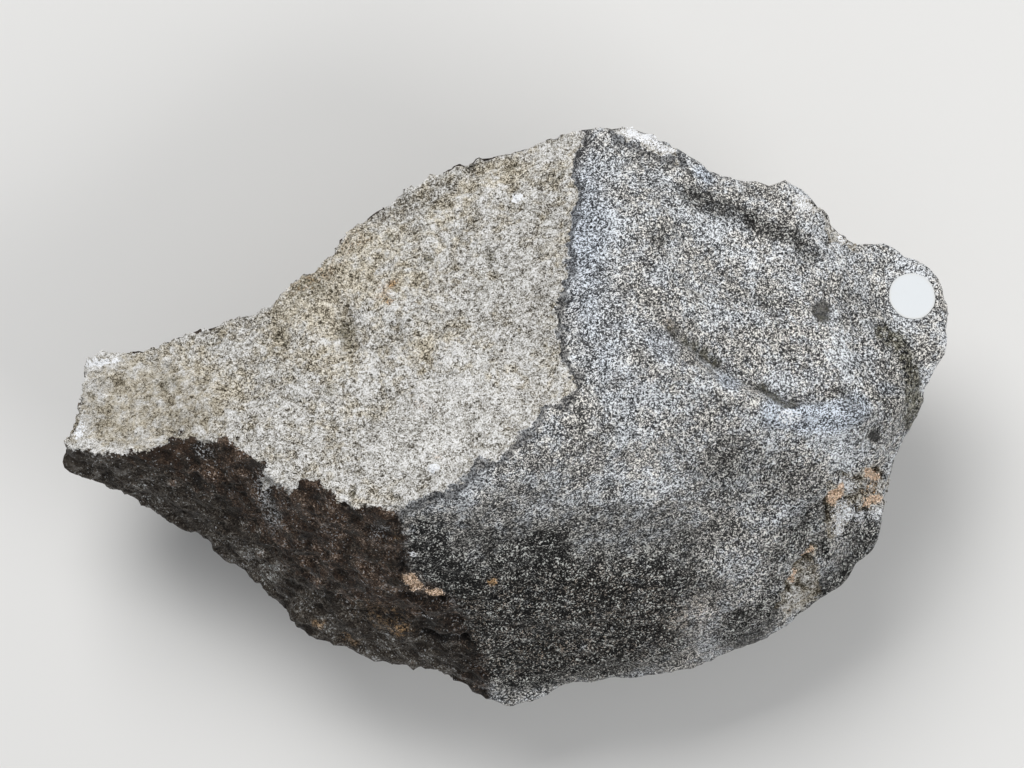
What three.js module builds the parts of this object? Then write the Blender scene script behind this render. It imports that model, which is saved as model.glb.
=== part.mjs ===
// A chondrite meteorite of about one and a quarter kilograms, with a round paper label stuck to its crust.
//
// The stone lies on its back. Its top has three great faces that meet at a summit: a fresh broken face to
// the left, a thumb-marked crust face to the upper right and a smooth crust face towards the front. A fourth,
// brown face falls away from the long crest of the broken face. Underneath it is crusted and blunt, and it
// rests on one small flat spot.
//
// Lengths are in millimetres. +X runs along the stone, +Z is up, and the origin is the middle of the
// bottom of its bounding box.

import * as THREE from 'three';
import { ConvexHull } from 'three/addons/math/ConvexHull.js';
import { ImprovedNoise } from 'three/addons/math/ImprovedNoise.js';
import { mergeVertices } from 'three/addons/utils/BufferGeometryUtils.js';

// ---------------------------------------------------------------------------------------------------------
// Driving dimensions
// ---------------------------------------------------------------------------------------------------------

// Every point of the surface can be seen from the heart of the stone.
const HEART = new THREE.Vector3(-6, -4, 33);

// Half the length, width and height.
const HALF_SPANS = new THREE.Vector3(74, 48, 36);

// Each of the 20 faces of the starting icosahedron is cut into this many rows of facets.
const FACET_ROWS = 20;

// The outline of the stone from above, anticlockwise from the tip of its tail: where each side turns under.
const TAIL_TOP_RIM = [
  [-69.7, 9, 37], [-68.7, 10.7, 37.5], [-64.5, 10.3, 37.3], [-60, 10.8, 37.8], [-53, 14, 40.5],
  [-44.5, 16, 41], [-39.5, 18, 41], [-36, 21.5, 41], [-30, 25.5, 40.5],
];
const BROKEN_FACE_RIM = [
  [-27, 30, 40], [-21.5, 34.5, 39.5], [-18, 36, 39.5], [-13.5, 39.5, 39], [-8.5, 41.5, 39.5],
  [-4.5, 43.5, 40], [1.5, 44, 41], [7, 46, 42.5], [10, 47.5, 43.5],
];
const CRUST_TOP_RIM = [
  [16, 47.5, 46.5], [21.5, 47.7, 48], [24.5, 46.8, 48], [27, 45.5, 48], [31.5, 43, 48.5], [34.3, 40, 47.5],
  [40.5, 39, 47], [45, 38, 46.5], [47, 38.7, 47], [52, 36.5, 46.5], [55, 32, 43.5], [58.3, 28.8, 41.5],
  [64.5, 28.5, 40.8], [67.5, 26.5, 40.7],
];
const LABEL_END_RIM = [
  [72, 24.5, 40.2], [74, 22, 40.4], [73.8, 17.5, 41.7], [74.6, 12, 42.5], [72.3, 8, 42], [70.5, 3.5, 41.5],
  [69.7, 0, 41], [67, -5, 39.5],
];
const FRONT_RIM = [
  [65, -9.5, 37.5], [64, -15, 35], [63.5, -20, 33.5], [60.5, -25, 32], [57, -29, 31], [50.8, -33, 30],
  [45.8, -37, 29], [39, -40, 28.5], [32, -43, 28], [23.5, -44.5, 27], [15, -45.3, 27], [11, -45.8, 27],
  [8, -47.3, 26.5], [4, -49, 26.5], [-1, -49.5, 26],
];
const BROWN_FACE_RIM = [
  [-4.5, -47.5, 26], [-6.5, -45.5, 27], [-11, -43, 27], [-18, -42, 28], [-25.5, -40, 29], [-32, -38, 29],
  [-36.5, -34, 30], [-40.5, -29.5, 31], [-45, -25.7, 32], [-51, -20.7, 33], [-57, -17.8, 34],
  [-61.7, -14, 35], [-68.5, -11, 35], [-74, -9.8, 36],
];
const TAIL_END_RIM = [
  [-74.3, -6, 40], [-72.5, -1, 39], [-71, 4.5, 38],
];
const RIM = [
  ...TAIL_TOP_RIM, ...BROKEN_FACE_RIM, ...CRUST_TOP_RIM, ...LABEL_END_RIM, ...FRONT_RIM, ...BROWN_FACE_RIM,
  ...TAIL_END_RIM,
];

// The wavy crest between the broken face and the brown face, and on to the summit.
const CREST = [
  [-74, -5.5, 43], [-67.5, -6.3, 47.5], [-59, -5.4, 50.5], [-53, -4, 52.5], [-45.5, -4.5, 56],
  [-40, -8.3, 60], [-35.5, -11.8, 62.5], [-32, -10.8, 63.5], [-27, -13.4, 66.5], [-19.5, -15.3, 69.5],
  [-13, -13.2, 70.5], [-7, -10, 71.5], [-3, -7, 72], [3.5, -3.5, 72], [8, 1.8, 71.5], [12, 4.5, 71],
];

// The edge of the crust, from the summit to the back rim, which stands a little above the broken face.
const CRUST_EDGE = [
  [12, 4.5, 71], [9.7, 10, 67.5], [8.7, 16, 63.5], [10.3, 24, 59], [10.6, 31.5, 54.7], [11.8, 38.5, 50.5],
  [10, 47.5, 43.5],
];

// The rubbed ridge that parts the thumb-marked crust from the smooth front face.
const CRUST_RIDGE = [
  [12, 4.5, 71], [17.3, 6.7, 71], [23, 10.5, 71], [29, 8, 69], [37, 4, 66], [46.3, 1, 63], [57.3, 0.6, 57.5],
  [66, 2, 49], [70.5, 3.5, 41.5],
];

// The blunt edge between the brown face and the smooth front face.
const BROWN_EDGE = [
  [-19.5, -15.3, 69.5], [-17.5, -19.5, 65.5], [-16.8, -24.6, 60], [-13, -30.3, 53], [-9, -38, 42],
  [-5, -44, 33], [-1, -49.5, 26],
];

// The foot of the groove that runs behind the ridge.
const GROOVE_FOOT = [
  [24.5, 16, 66], [28, 13.5, 64.5], [31, 11.5, 63], [35, 8.3, 61.5], [42, 5.2, 59.5], [45, 4, 58],
  [48.5, 3, 57],
];

// Heights on the great faces, between the lines above.
const BROKEN_FACE_SPOTS = [
  [-58, 3, 44.5], [-40, 4, 51.5], [-22, 10, 54.5], [-24, -3, 61], [-5, 22, 53.5], [-4, 5, 63], [2, 36, 47.5],
  [-14, 26, 47.5],
];
const CRUST_FACE_SPOTS = [
  [17, 19, 65.5], [17.6, 33, 58.5], [24, 27, 61], [25, 19, 64], [32.5, 34, 53.5], [40, 24, 55.5],
  [49.5, 19.5, 53.5], [42, 14, 57.5], [50, 10, 56.5], [59.6, 19.3, 46.5], [60, 9.5, 51], [24, 40, 53.5],
];
const FRONT_FACE_SPOTS = [
  [19, -9, 65.5], [9, -22, 58.5], [32, -11, 61.5], [23, -31, 48.5], [36, -29, 47], [50, -14, 51],
  [9.5, -41, 37], [-1, -34, 48], [52, -25, 40.5], [60, -9, 46.5], [26, -41, 36], [43, -34, 37],
];
const BROWN_FACE_SPOTS = [
  [-52, -13, 44], [-40, -20, 46], [-28, -26, 50], [-25, -34, 39], [-14, -37, 41],
];

// The blunt underside, ring by ring down to the flat spot on which the stone rests.
const UPPER_BELLY = [
  [72, 13, 27], [66, 22.5, 26], [57, 26.5, 32], [51, 28.5, 25], [38, 34.5, 30], [19, 42.5, 27], [-3, 38, 25],
  [-21, 29.5, 26], [-37, 15, 28], [-56, 8, 27], [-70, 3, 25], [-70, -7, 25], [-54, -15.5, 23], [-38, -28, 18],
  [-20, -39, 16], [0, -46, 16], [20, -42.5, 16], [42, -35.5, 18], [59.5, -21, 19], [67, -3, 23],
];
const LOWER_BELLY = [
  [58, 6, 9], [47, 20, 10], [30, 30, 10], [10, 34.5, 9], [-12, 27, 9], [-30, 13, 12], [-48, 2, 17],
  [-46, -10, 14], [-30, -18, 9], [-9, -31, 9.5], [16, -31, 8.5], [38, -24, 8], [54, -9, 7],
];
const REST_SPOT = [
  [31, -3, 0], [25, 9, 0], [10, 16, 0], [-8, 13, 0], [-19, 4, 0], [-17, -8, 0], [-4, -17, 0], [14, -18, 0],
  [27, -13, 0], [5, -1, 0],
];

// Thumb marks and other hollows: the middle, the radii along and across the stone, and the depth.
const HOLLOWS = [
  { at: [38.5, 25, 56], radii: [16, 13], depth: 3 },
  { at: [50, 11, 57], radii: [12, 6], depth: 1.4 },
  { at: [61, 12, 50], radii: [7, 7], depth: 1 },
  { at: [34, 37, 52], radii: [10, 5], depth: 1.2 },
  { at: [-22, 12, 54], radii: [10, 8], depth: 1 },
  { at: [-32, 10, 50], radii: [8, 6], depth: 0.8 },
  { at: [-44, -17, 45], radii: [10, 7], depth: 1.4 },
  { at: [-24, -31, 43], radii: [9, 7], depth: 1.4 },
  { at: [56, 22, 20], radii: [13, 12], depth: 3.2 },
  { at: [46, -14, 4], radii: [14, 11], depth: 3 },
  { at: [33, 30, 14], radii: [13, 10], depth: 2.6 },
  { at: [5, 38, 18], radii: [14, 12], depth: 2.8 },
  { at: [-22, 24, 18], radii: [13, 12], depth: 3 },
  { at: [-50, 2, 18], radii: [13, 9], depth: 2 },
  { at: [-30, -22, 9], radii: [14, 11], depth: 3.2 },
  { at: [-9, -38, 12], radii: [11, 10], depth: 2.6 },
  { at: [22, -38, 12], radii: [13, 10], depth: 3 },
  { at: [51, -29, 18], radii: [11, 9], depth: 2.2 },
  { at: [66, -3, 20], radii: [9, 9], depth: 2.2 },
];

// The rough relief: how far apart its swells are and how high they stand, coarse and fine.
const SWELL_SPACING = 13;
const SWELL_HEIGHT = 0.9;
const KNOB_SPACING = 5.5;
const KNOB_HEIGHT = 0.45;

// Where in the noise the relief is read.
const NOISE_START = new THREE.Vector3(31, 17, 5);

// How much of the relief is left on the edges that were drawn by hand.
const EDGE_RELIEF = 0.25;

// Rounds of sliding that spread the facets evenly.
const SPREAD_ROUNDS = 24;

// Facet corners this near to a drawn edge are moved onto it.
const SNAP_REACH = 1.8;

// Rounds of smoothing between the drawn edges.
const SMOOTH_ROUNDS = 4;
const SMOOTH_SHARE = 0.5;

// The paper label: a disc that leans a little towards the back of the stone.
const LABEL = {
  centre: new THREE.Vector3(68.7, 20, 42.2),
  normal: new THREE.Vector3(0.22, 0.26, 0.94).normalize(),
  radius: 4,
  thickness: 0.25,
  gap: 0.3,
  sides: 48,
};

// The flat place under the label: its radius, how far its edge fades into the stone, and how deep a dip it
// fills.
const SEAT_RADIUS = 6.5;
const SEAT_FADE = 3;
const SEAT_DEPTH = 1.2;

// Corners closer together than this are one.
const SAME_PLACE = 1e-6;

// Colours of the dark crust, on average, and of the paper.
const CRUST_COLOUR = 0x8a8883;
const PAPER_COLOUR = 0xf4f4f0;

// ---------------------------------------------------------------------------------------------------------
// The cage: the hand-placed points, joined into facets
// ---------------------------------------------------------------------------------------------------------

function vectors(points) {
  return points.map(([x, y, z]) => new THREE.Vector3(x, y, z));
}

// All the drawn points, each once.
function cagePoints() {
  const all = [
    ...RIM, ...CREST, ...CRUST_EDGE, ...CRUST_RIDGE, ...BROWN_EDGE, ...GROOVE_FOOT, ...BROKEN_FACE_SPOTS,
    ...CRUST_FACE_SPOTS, ...FRONT_FACE_SPOTS, ...BROWN_FACE_SPOTS, ...UPPER_BELLY, ...LOWER_BELLY,
    ...REST_SPOT,
  ];
  const byPlace = new Map(all.map((point) => [point.join(), point]));
  return vectors([...byPlace.values()]);
}

// The direction of a point from the heart, on the unit ball that the stone is stretched from.
function directionOf(point) {
  return point.clone().sub(HEART).divide(HALF_SPANS).normalize();
}

// Joins the points into facets: neighbours on the stone are neighbours on the hull of their directions. Each
// facet is kept as the matrix that turns a ray from the heart into its shares of the facet's three corners.
function cageFacets() {
  const corners = cagePoints();
  const directions = corners.map(directionOf);
  const hull = new ConvexHull().setFromPoints(directions);
  return hull.faces.map(({ edge }) => {
    const heads = [edge, edge.next, edge.prev].map((side) => side.head().point);
    const places = heads.map((direction) => corners[directions.indexOf(direction)].clone().sub(HEART));
    const fromShares = new THREE.Matrix4().makeBasis(...places);
    return new THREE.Matrix3().setFromMatrix4(fromShares).invert();
  });
}

// Where a ray from the heart meets the cage. The shares are all positive in the facet that the ray crosses, so
// that facet is the one whose smallest share is largest.
function meetCage(ray, facets) {
  const shares = new THREE.Vector3();
  let bestShare = -Infinity;
  let total = 0;
  for (const toShares of facets) {
    shares.copy(ray).applyMatrix3(toShares);
    const smallest = Math.min(shares.x, shares.y, shares.z);
    if (smallest > bestShare) {
      bestShare = smallest;
      total = shares.x + shares.y + shares.z;
    }
  }
  return ray.clone().divideScalar(total).add(HEART);
}

// ---------------------------------------------------------------------------------------------------------
// The surface: even facets laid over the cage
// ---------------------------------------------------------------------------------------------------------

function evenBall() {
  const ball = new THREE.IcosahedronGeometry(1, FACET_ROWS - 1);
  ball.deleteAttribute('normal');
  ball.deleteAttribute('uv');
  return mergeVertices(ball, SAME_PLACE);
}

function cornersOf(geometry) {
  const place = geometry.getAttribute('position');
  return Array.from({ length: place.count }, (_, i) => new THREE.Vector3().fromBufferAttribute(place, i));
}

function neighboursOf(geometry, count) {
  const near = Array.from({ length: count }, () => new Set());
  const index = geometry.getIndex().array;
  for (let i = 0; i < index.length; i += 3) {
    for (let side = 0; side < 3; side += 1) {
      const a = index[i + side];
      const b = index[i + ((side + 1) % 3)];
      near[a].add(b);
      near[b].add(a);
    }
  }
  return near;
}

function middleOf(places, names) {
  const middle = new THREE.Vector3();
  names.forEach((name) => middle.add(places[name]));
  return middle.divideScalar(names.size);
}

// Slides the facet corners over the cage until they are evenly spread.
function spreadEvenly(corners, near, facets) {
  for (let round = 0; round < SPREAD_ROUNDS; round += 1) {
    const before = corners.map((corner) => corner.clone());
    corners.forEach((corner, i) => corner.copy(meetCage(middleOf(before, near[i]).sub(HEART), facets)));
  }
}

// The straight pieces of the drawn edges.
function drawnSegments() {
  const closedRim = [...RIM, RIM[0]];
  const lines = [closedRim, CREST, CRUST_EDGE, CRUST_RIDGE, BROWN_EDGE, GROOVE_FOOT].map(vectors);
  return lines.flatMap((line) => line.slice(1).map((end, i) => new THREE.Line3(line[i], end)));
}

function nearestOnSegments(point, segments) {
  const candidates = segments.map((segment) => segment.closestPointToPoint(point, true, new THREE.Vector3()));
  return candidates.reduce((best, next) => (next.distanceTo(point) < best.distanceTo(point) ? next : best));
}

// Which corners lie beside a drawn edge. A facet keeps two of them at most, or it would be squeezed flat.
function cornersBesideEdges(corners, index, segments) {
  const away = corners.map((corner) => corner.distanceTo(nearestOnSegments(corner, segments)));
  const beside = away.map((distance) => distance < SNAP_REACH);
  for (let i = 0; i < index.length; i += 3) {
    const facet = [index[i], index[i + 1], index[i + 2]];
    if (facet.every((name) => beside[name])) {
      const farthest = facet.reduce((far, name) => (away[name] > away[far] ? name : far));
      beside[farthest] = false;
    }
  }
  return beside;
}

// Rounds off the cage between its edges. The corners on an edge only slide along it.
function smooth(corners, near, onEdge, segments) {
  for (let round = 0; round < SMOOTH_ROUNDS; round += 1) {
    const before = corners.map((corner) => corner.clone());
    corners.forEach((corner, i) => {
      corner.lerp(middleOf(before, near[i]), SMOOTH_SHARE);
      if (onEdge[i]) {
        corner.copy(nearestOnSegments(corner, segments));
      }
    });
  }
}

// ---------------------------------------------------------------------------------------------------------
// Relief
// ---------------------------------------------------------------------------------------------------------

// A smooth step down from 1 in the middle to 0 at the radius.
function fade(distance) {
  const inside = Math.max(0, 1 - distance * distance);
  return inside * inside;
}

function hollowDepth(corner) {
  return HOLLOWS.reduce((depth, hollow) => {
    const [x, y, z] = hollow.at;
    const along = (corner.x - x) / hollow.radii[0];
    const across = Math.hypot(corner.y - y, corner.z - z) / hollow.radii[1];
    return depth + hollow.depth * fade(Math.hypot(along, across));
  }, 0);
}

const noise = new ImprovedNoise();

function swell(corner, spacing) {
  const place = corner.clone().divideScalar(spacing).add(NOISE_START);
  return noise.noise(place.x, place.y, place.z);
}

function relief(corner, onEdge) {
  const bumps = SWELL_HEIGHT * swell(corner, SWELL_SPACING) + KNOB_HEIGHT * swell(corner, KNOB_SPACING);
  return bumps * (onEdge ? EDGE_RELIEF : 1);
}

// Moves each corner in or out along its ray from the heart.
function addRelief(corners, onEdge) {
  corners.forEach((corner, i) => {
    const outward = corner.clone().sub(HEART).normalize();
    const rise = relief(corner, onEdge[i]) - hollowDepth(corner);
    corner.addScaledVector(outward, rise);
  });
}

// Nothing reaches below the surface on which the stone rests, and the drawn resting spot stays flat.
function flattenRestSpot(corners, restCorners) {
  corners.forEach((corner, i) => {
    if (restCorners[i] || corner.z < 0) {
      corner.z = 0;
    }
  });
}

// Levels the stone under the label, so that the paper lies on it.
function flattenLabelSeat(corners) {
  corners.forEach((corner) => {
    const toCorner = corner.clone().sub(LABEL.centre);
    const height = toCorner.dot(LABEL.normal);
    const sideways = toCorner.addScaledVector(LABEL.normal, -height).length();
    const share = THREE.MathUtils.clamp((SEAT_RADIUS + SEAT_FADE - sideways) / SEAT_FADE, 0, 1);
    if (height > -SEAT_DEPTH && corner.z > HEART.z) {
      corner.addScaledVector(LABEL.normal, -height * share);
    }
  });
}

// ---------------------------------------------------------------------------------------------------------
// The two pieces
// ---------------------------------------------------------------------------------------------------------

function stoneGeometry() {
  const geometry = evenBall();
  const facets = cageFacets();
  const corners = cornersOf(geometry).map((direction) => meetCage(direction.multiply(HALF_SPANS), facets));
  const near = neighboursOf(geometry, corners.length);
  spreadEvenly(corners, near, facets);
  const restCorners = corners.map((corner) => corner.z < SAME_PLACE);
  const segments = drawnSegments();
  const onEdge = cornersBesideEdges(corners, geometry.getIndex().array, segments);
  smooth(corners, near, onEdge, segments);
  addRelief(corners, onEdge);
  flattenRestSpot(corners, restCorners);
  flattenLabelSeat(corners);
  corners.forEach((corner, i) => geometry.getAttribute('position').setXYZ(i, corner.x, corner.y, corner.z));
  return geometry;
}

function makeStone() {
  const material = new THREE.MeshStandardMaterial({ color: CRUST_COLOUR, roughness: 0.75, metalness: 0 });
  const stone = new THREE.Mesh(stoneGeometry(), material);
  stone.name = 'meteorite';
  return stone;
}

// The disc stands along +Z in its own frame, and is then turned to face the way its seat does.
function makeLabel() {
  const disc = new THREE.CylinderGeometry(LABEL.radius, LABEL.radius, LABEL.thickness, LABEL.sides);
  disc.rotateX(Math.PI / 2);
  disc.translate(0, 0, LABEL.gap + LABEL.thickness / 2);
  const material = new THREE.MeshStandardMaterial({ color: PAPER_COLOUR, roughness: 0.85, metalness: 0 });
  const label = new THREE.Mesh(disc, material);
  label.name = 'label';
  label.position.copy(LABEL.centre);
  label.quaternion.setFromUnitVectors(new THREE.Vector3(0, 0, 1), LABEL.normal);
  return label;
}

// Puts the origin in the middle of the bottom of the bounding box.
function centred(...pieces) {
  const group = new THREE.Group();
  group.add(...pieces);
  const middle = new THREE.Box3().setFromObject(group).getCenter(new THREE.Vector3());
  group.position.set(-middle.x, -middle.y, 0);
  return group;
}

export default centred(makeStone(), makeLabel());
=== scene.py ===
"""A chondrite meteorite at rest: a pale broken face, fusion crust, a brown-stained flank and a paper dot."""

import logging
import math
from dataclasses import dataclass, field
from enum import Enum
from typing import Any, Sequence

import bmesh
import bpy
import numpy as np
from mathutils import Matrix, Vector
from mathutils.bvhtree import BVHTree


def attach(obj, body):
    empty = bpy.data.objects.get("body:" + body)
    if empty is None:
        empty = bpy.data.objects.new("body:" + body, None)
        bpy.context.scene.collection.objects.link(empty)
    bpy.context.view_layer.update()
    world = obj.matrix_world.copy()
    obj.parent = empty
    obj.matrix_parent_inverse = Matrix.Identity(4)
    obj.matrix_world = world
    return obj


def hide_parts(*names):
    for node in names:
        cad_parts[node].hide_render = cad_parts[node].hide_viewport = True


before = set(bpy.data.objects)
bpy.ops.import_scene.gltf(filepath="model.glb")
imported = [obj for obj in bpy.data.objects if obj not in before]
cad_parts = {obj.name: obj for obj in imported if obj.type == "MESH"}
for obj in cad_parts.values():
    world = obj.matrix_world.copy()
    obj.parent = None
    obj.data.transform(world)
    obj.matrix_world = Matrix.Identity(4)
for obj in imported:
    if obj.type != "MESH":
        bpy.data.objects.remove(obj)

LOG = logging.getLogger("meteorite")
MM = 0.001
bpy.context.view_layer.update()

Pair = tuple[float, float]
Colour = tuple[float, float, float, float]


# -------------------------------------------------------------------------------- node graphs


@dataclass(frozen=True)
class Pattern:
    """A noise pattern: waves to the millimetre, finer waves and their strength, its seed and its bend."""

    scale: float
    detail: float
    rough: float
    seed: float | None = None
    bend: float = 0.0


class Wire:
    """One output of a node. Arithmetic on it adds the Math node that it stands for."""

    def __init__(self, graph: "Graph", socket: bpy.types.NodeSocket) -> None:
        """Holds the socket and the graph that it belongs to."""
        self.graph = graph
        self.socket = socket

    def _math(self, operation: str, *operands: Any, clamp: bool = False) -> "Wire":
        """Adds one Math node.

        Args:
            operation: the Math node's operation.
            operands: wires or numbers, in the order of the node's sockets.
            clamp: whether the result is held between 0 and 1.

        Returns:
            The result as a wire.
        """
        settings = {"operation": operation, "use_clamp": clamp}
        node = self.graph.node("ShaderNodeMath", settings, dict(enumerate(operands)))
        return Wire(self.graph, node.outputs[0])

    def __add__(self, other: Any) -> "Wire":
        """self + other."""
        return self._math("ADD", self, other)

    __radd__ = __add__

    def __sub__(self, other: Any) -> "Wire":
        """self - other."""
        return self._math("SUBTRACT", self, other)

    def __rsub__(self, other: Any) -> "Wire":
        """other - self."""
        return self._math("SUBTRACT", other, self)

    def __mul__(self, other: Any) -> "Wire":
        """self * other."""
        return self._math("MULTIPLY", self, other)

    __rmul__ = __mul__

    def __rpow__(self, other: Any) -> "Wire":
        """other ** self."""
        return self._math("POWER", other, self)

    def __neg__(self) -> "Wire":
        """-self."""
        return self._math("MULTIPLY", self, -1.0)

    def size(self) -> "Wire":
        """The value without its sign."""
        return self._math("ABSOLUTE", self)

    def at_most(self, other: Any) -> "Wire":
        """The smaller of the two."""
        return self._math("MINIMUM", self, other)

    def held(self) -> "Wire":
        """The value held between 0 and 1."""
        return self._math("ADD", self, 0.0, clamp=True)

    def step(self, low: float, high: float, start: float = 0.0, end: float = 1.0) -> "Wire":
        """A smooth step.

        Args:
            low: where the step starts.
            high: where it ends.
            start: the result below low.
            end: the result above high.

        Returns:
            The stepped value.
        """
        values = {"Value": self, "From Min": low, "From Max": high, "To Min": start, "To Max": end}
        node = self.graph.node("ShaderNodeMapRange", {"interpolation_type": "SMOOTHSTEP"}, values)
        return Wire(self.graph, node.outputs["Result"])


class Graph:
    """A shader or geometry tree that is being written."""

    def __init__(self, tree: bpy.types.NodeTree) -> None:
        """Empties the tree and holds it."""
        self.tree = tree
        tree.nodes.clear()

    def node(
        self, kind: str, settings: dict[str, Any] | None = None, inputs: dict[Any, Any] | None = None
    ) -> Any:
        """Adds any node.

        Args:
            kind: the node's type.
            settings: the node's own options, set first; "stops" are a ramp's (place, colour) pairs.
            inputs: a wire, socket or plain value for each input, by its name or number.

        Returns:
            The node.
        """
        made = self.tree.nodes.new(kind)
        for name, value in (settings or {}).items():
            if name == "stops":
                self._set_stops(made.color_ramp, value)
            else:
                setattr(made, name, value)
        for key, value in (inputs or {}).items():
            socket = made.inputs[key] if isinstance(key, int) else self._open_socket(made.inputs, key)
            source = value.socket if isinstance(value, Wire) else value
            if isinstance(source, bpy.types.NodeSocket):
                self.tree.links.new(source, socket)
            else:
                socket.default_value = source
        return made

    @staticmethod
    def _set_stops(ramp: Any, stops: Sequence[tuple[float, Colour]]) -> None:
        """Gives a ramp its stops.

        Args:
            ramp: the ramp.
            stops: the place and colour of each stop, in order.
        """
        while len(ramp.elements) < len(stops):
            ramp.elements.new(1.0)
        for element, (place, colour) in zip(ramp.elements, stops):
            element.position = place
            element.color = colour

    @staticmethod
    def _open_socket(sockets: Any, name: str) -> bpy.types.NodeSocket:
        """The first socket of that name which the node's options leave open.

        Args:
            sockets: the node's inputs or outputs.
            name: the socket's name.

        Returns:
            The socket.
        """
        return next(s for s in sockets if s.name == name and s.enabled)

    def wire(self, node: Any, output: Any = 0) -> Wire:
        """One of a node's outputs as a wire."""
        return Wire(self, node.outputs[output])

    def vector(self, operation: str, *operands: Any, scale: Any = None) -> Wire:
        """Adds one Vector Math node.

        Args:
            operation: the node's operation.
            operands: wires or vectors, in the order of the node's sockets.
            scale: the factor of a SCALE.

        Returns:
            The vector as a wire.
        """
        inputs: dict[Any, Any] = dict(enumerate(operands))
        if scale is not None:
            inputs["Scale"] = scale
        return self.wire(self.node("ShaderNodeVectorMath", {"operation": operation}, inputs))

    def blend(self, share: Any, start: Any, end: Any, how: str = "MIX") -> Wire:
        """Mixes two colours.

        Args:
            share: how much of the second colour shows, from 0 to 1.
            start: the first colour.
            end: the second colour.
            how: the way that they blend.

        Returns:
            The colour as a wire.
        """
        settings = {"data_type": "RGBA", "blend_type": how, "clamp_factor": True}
        node = self.node("ShaderNodeMix", settings, {"Factor": share, "A": start, "B": end})
        return Wire(self, self._open_socket(node.outputs, "Result"))

    def noise(self, place: Any, pattern: Pattern, seed: Wire | None = None) -> Wire:
        """Noise around 0.5.

        Args:
            place: where it is read, in millimetres.
            pattern: what the noise is like.
            seed: its seed as a wire, in place of the pattern's own.

        Returns:
            The noise as a wire.
        """
        settings = {}
        values = {"Vector": place, "Scale": pattern.scale, "Detail": pattern.detail}
        values.update({"Roughness": pattern.rough, "Distortion": pattern.bend})
        if seed is not None or pattern.seed is not None:
            settings["noise_dimensions"] = "4D"
            values["W"] = pattern.seed if seed is None else seed
        return self.wire(self.node("ShaderNodeTexNoise", settings, values))


# -------------------------------------------------------------------------------- marks on the stone


class Layer(Enum):
    """What a mark changes, and the name of the attribute that carries it."""

    PALE = "pale_edge"
    LIP = "crust_lip"
    BROWN = "brown_edge"
    # Real lighter and darker patches together with painted shade and painted highlights.
    TONE_AND_PAINTED_SHADE = "tone_and_painted_shade"
    # Painted bluish sheen on the crust's highlight spots, ridges and rims.
    BLUE = "painted_blue_sheen"
    RUST = "rust"
    SMOOTH = "smooth_melt"
    FLOW = "flow_lines"
    # A few real white grains; most white marks are painted glints and highlights.
    WHITE = "white_grain_and_painted_glint"
    # Olive darkening in patches, pits and creases and along the groove and the right wall.
    OLIVE = "olive_darkening"
    CARVE = "carve"
    CALM = "calm"
    # How far a point stands out; the colours use it to darken hollows and lighten bumps, which is painted
    # shade.
    HOLLOW = "hollow"
    TAN = "tan_patch"
    FRAGMENT = "white_fragment"
    OCHRE = "ochre_stain"


@dataclass(frozen=True)
class Eye:
    """The point over the stone that its marks are laid out from, and the level they are drawn on, in mm."""

    x: float = 1.26
    y: float = 6.16
    z: float = 934.0
    level: float = 34.0

    def plan(self, spots: np.ndarray) -> np.ndarray:
        """Where points on the stone fall on the drawing level.

        Args:
            spots: points in mm, one a row.

        Returns:
            Their two coordinates on the level, in mm.
        """
        reach = (self.z - self.level) / (self.z - spots[:, 2:3])
        centre = np.array([self.x, self.y])
        return centre + (spots[:, :2] - centre) * reach

    def facing(self, spots: np.ndarray, normals: np.ndarray) -> np.ndarray:
        """How squarely the surface faces the eye.

        Args:
            spots: points in mm.
            normals: the surface's normals there.

        Returns:
            1 where it faces the eye, 0 on the outline and less where it is hidden.
        """
        away = np.array([self.x, self.y, self.z]) - spots
        away /= np.linalg.norm(away, axis=1, keepdims=True)
        return (away * normals).sum(1)


def smooth_step(low: float, high: float, value: np.ndarray) -> np.ndarray:
    """A smooth step from 0 at low to 1 at high.

    Args:
        low: where it starts.
        high: where it ends.
        value: the values to step.

    Returns:
        The stepped values.
    """
    share = np.clip((value - low) / (high - low), 0.0, 1.0)
    return share * share * (3.0 - 2.0 * share)


def line_distance(plan: np.ndarray, points: Sequence[Pair], closed: bool = False) -> np.ndarray:
    """How far each spot is from a drawn line.

    Args:
        plan: spots on the drawing level, in mm.
        points: the line's points, in mm.
        closed: whether the last point joins the first.

    Returns:
        The distances, in mm.
    """
    line = np.array(points, float)
    ends = np.roll(line, -1, axis=0) if closed else line[1:]
    starts = line if closed else line[:-1]
    nearest = np.full(len(plan), 1e9)
    for start, end in zip(starts, ends):
        along = end - start
        share = np.clip(((plan - start) @ along) / max(along @ along, 1e-9), 0.0, 1.0)
        gap = np.linalg.norm(plan - start - share[:, None] * along, axis=1)
        nearest = np.minimum(nearest, gap)
    return nearest


def outline_distance(plan: np.ndarray, points: Sequence[Pair]) -> np.ndarray:
    """How far each spot lies inside a closed outline.

    Args:
        plan: spots on the drawing level, in mm.
        points: the outline's corners, in mm.

    Returns:
        The distance to the outline in mm, less than 0 outside it.
    """
    corners = np.array(points, float)
    inside = np.zeros(len(plan), bool)
    for (x0, y0), (x1, y1) in zip(corners, np.roll(corners, -1, axis=0)):
        if y0 == y1:
            continue
        spans = (y0 > plan[:, 1]) != (y1 > plan[:, 1])
        inside ^= spans & (plan[:, 0] < (x1 - x0) * (plan[:, 1] - y0) / (y1 - y0) + x0)
    gap = line_distance(plan, points, closed=True)
    return np.where(inside, gap, -gap)


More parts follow.
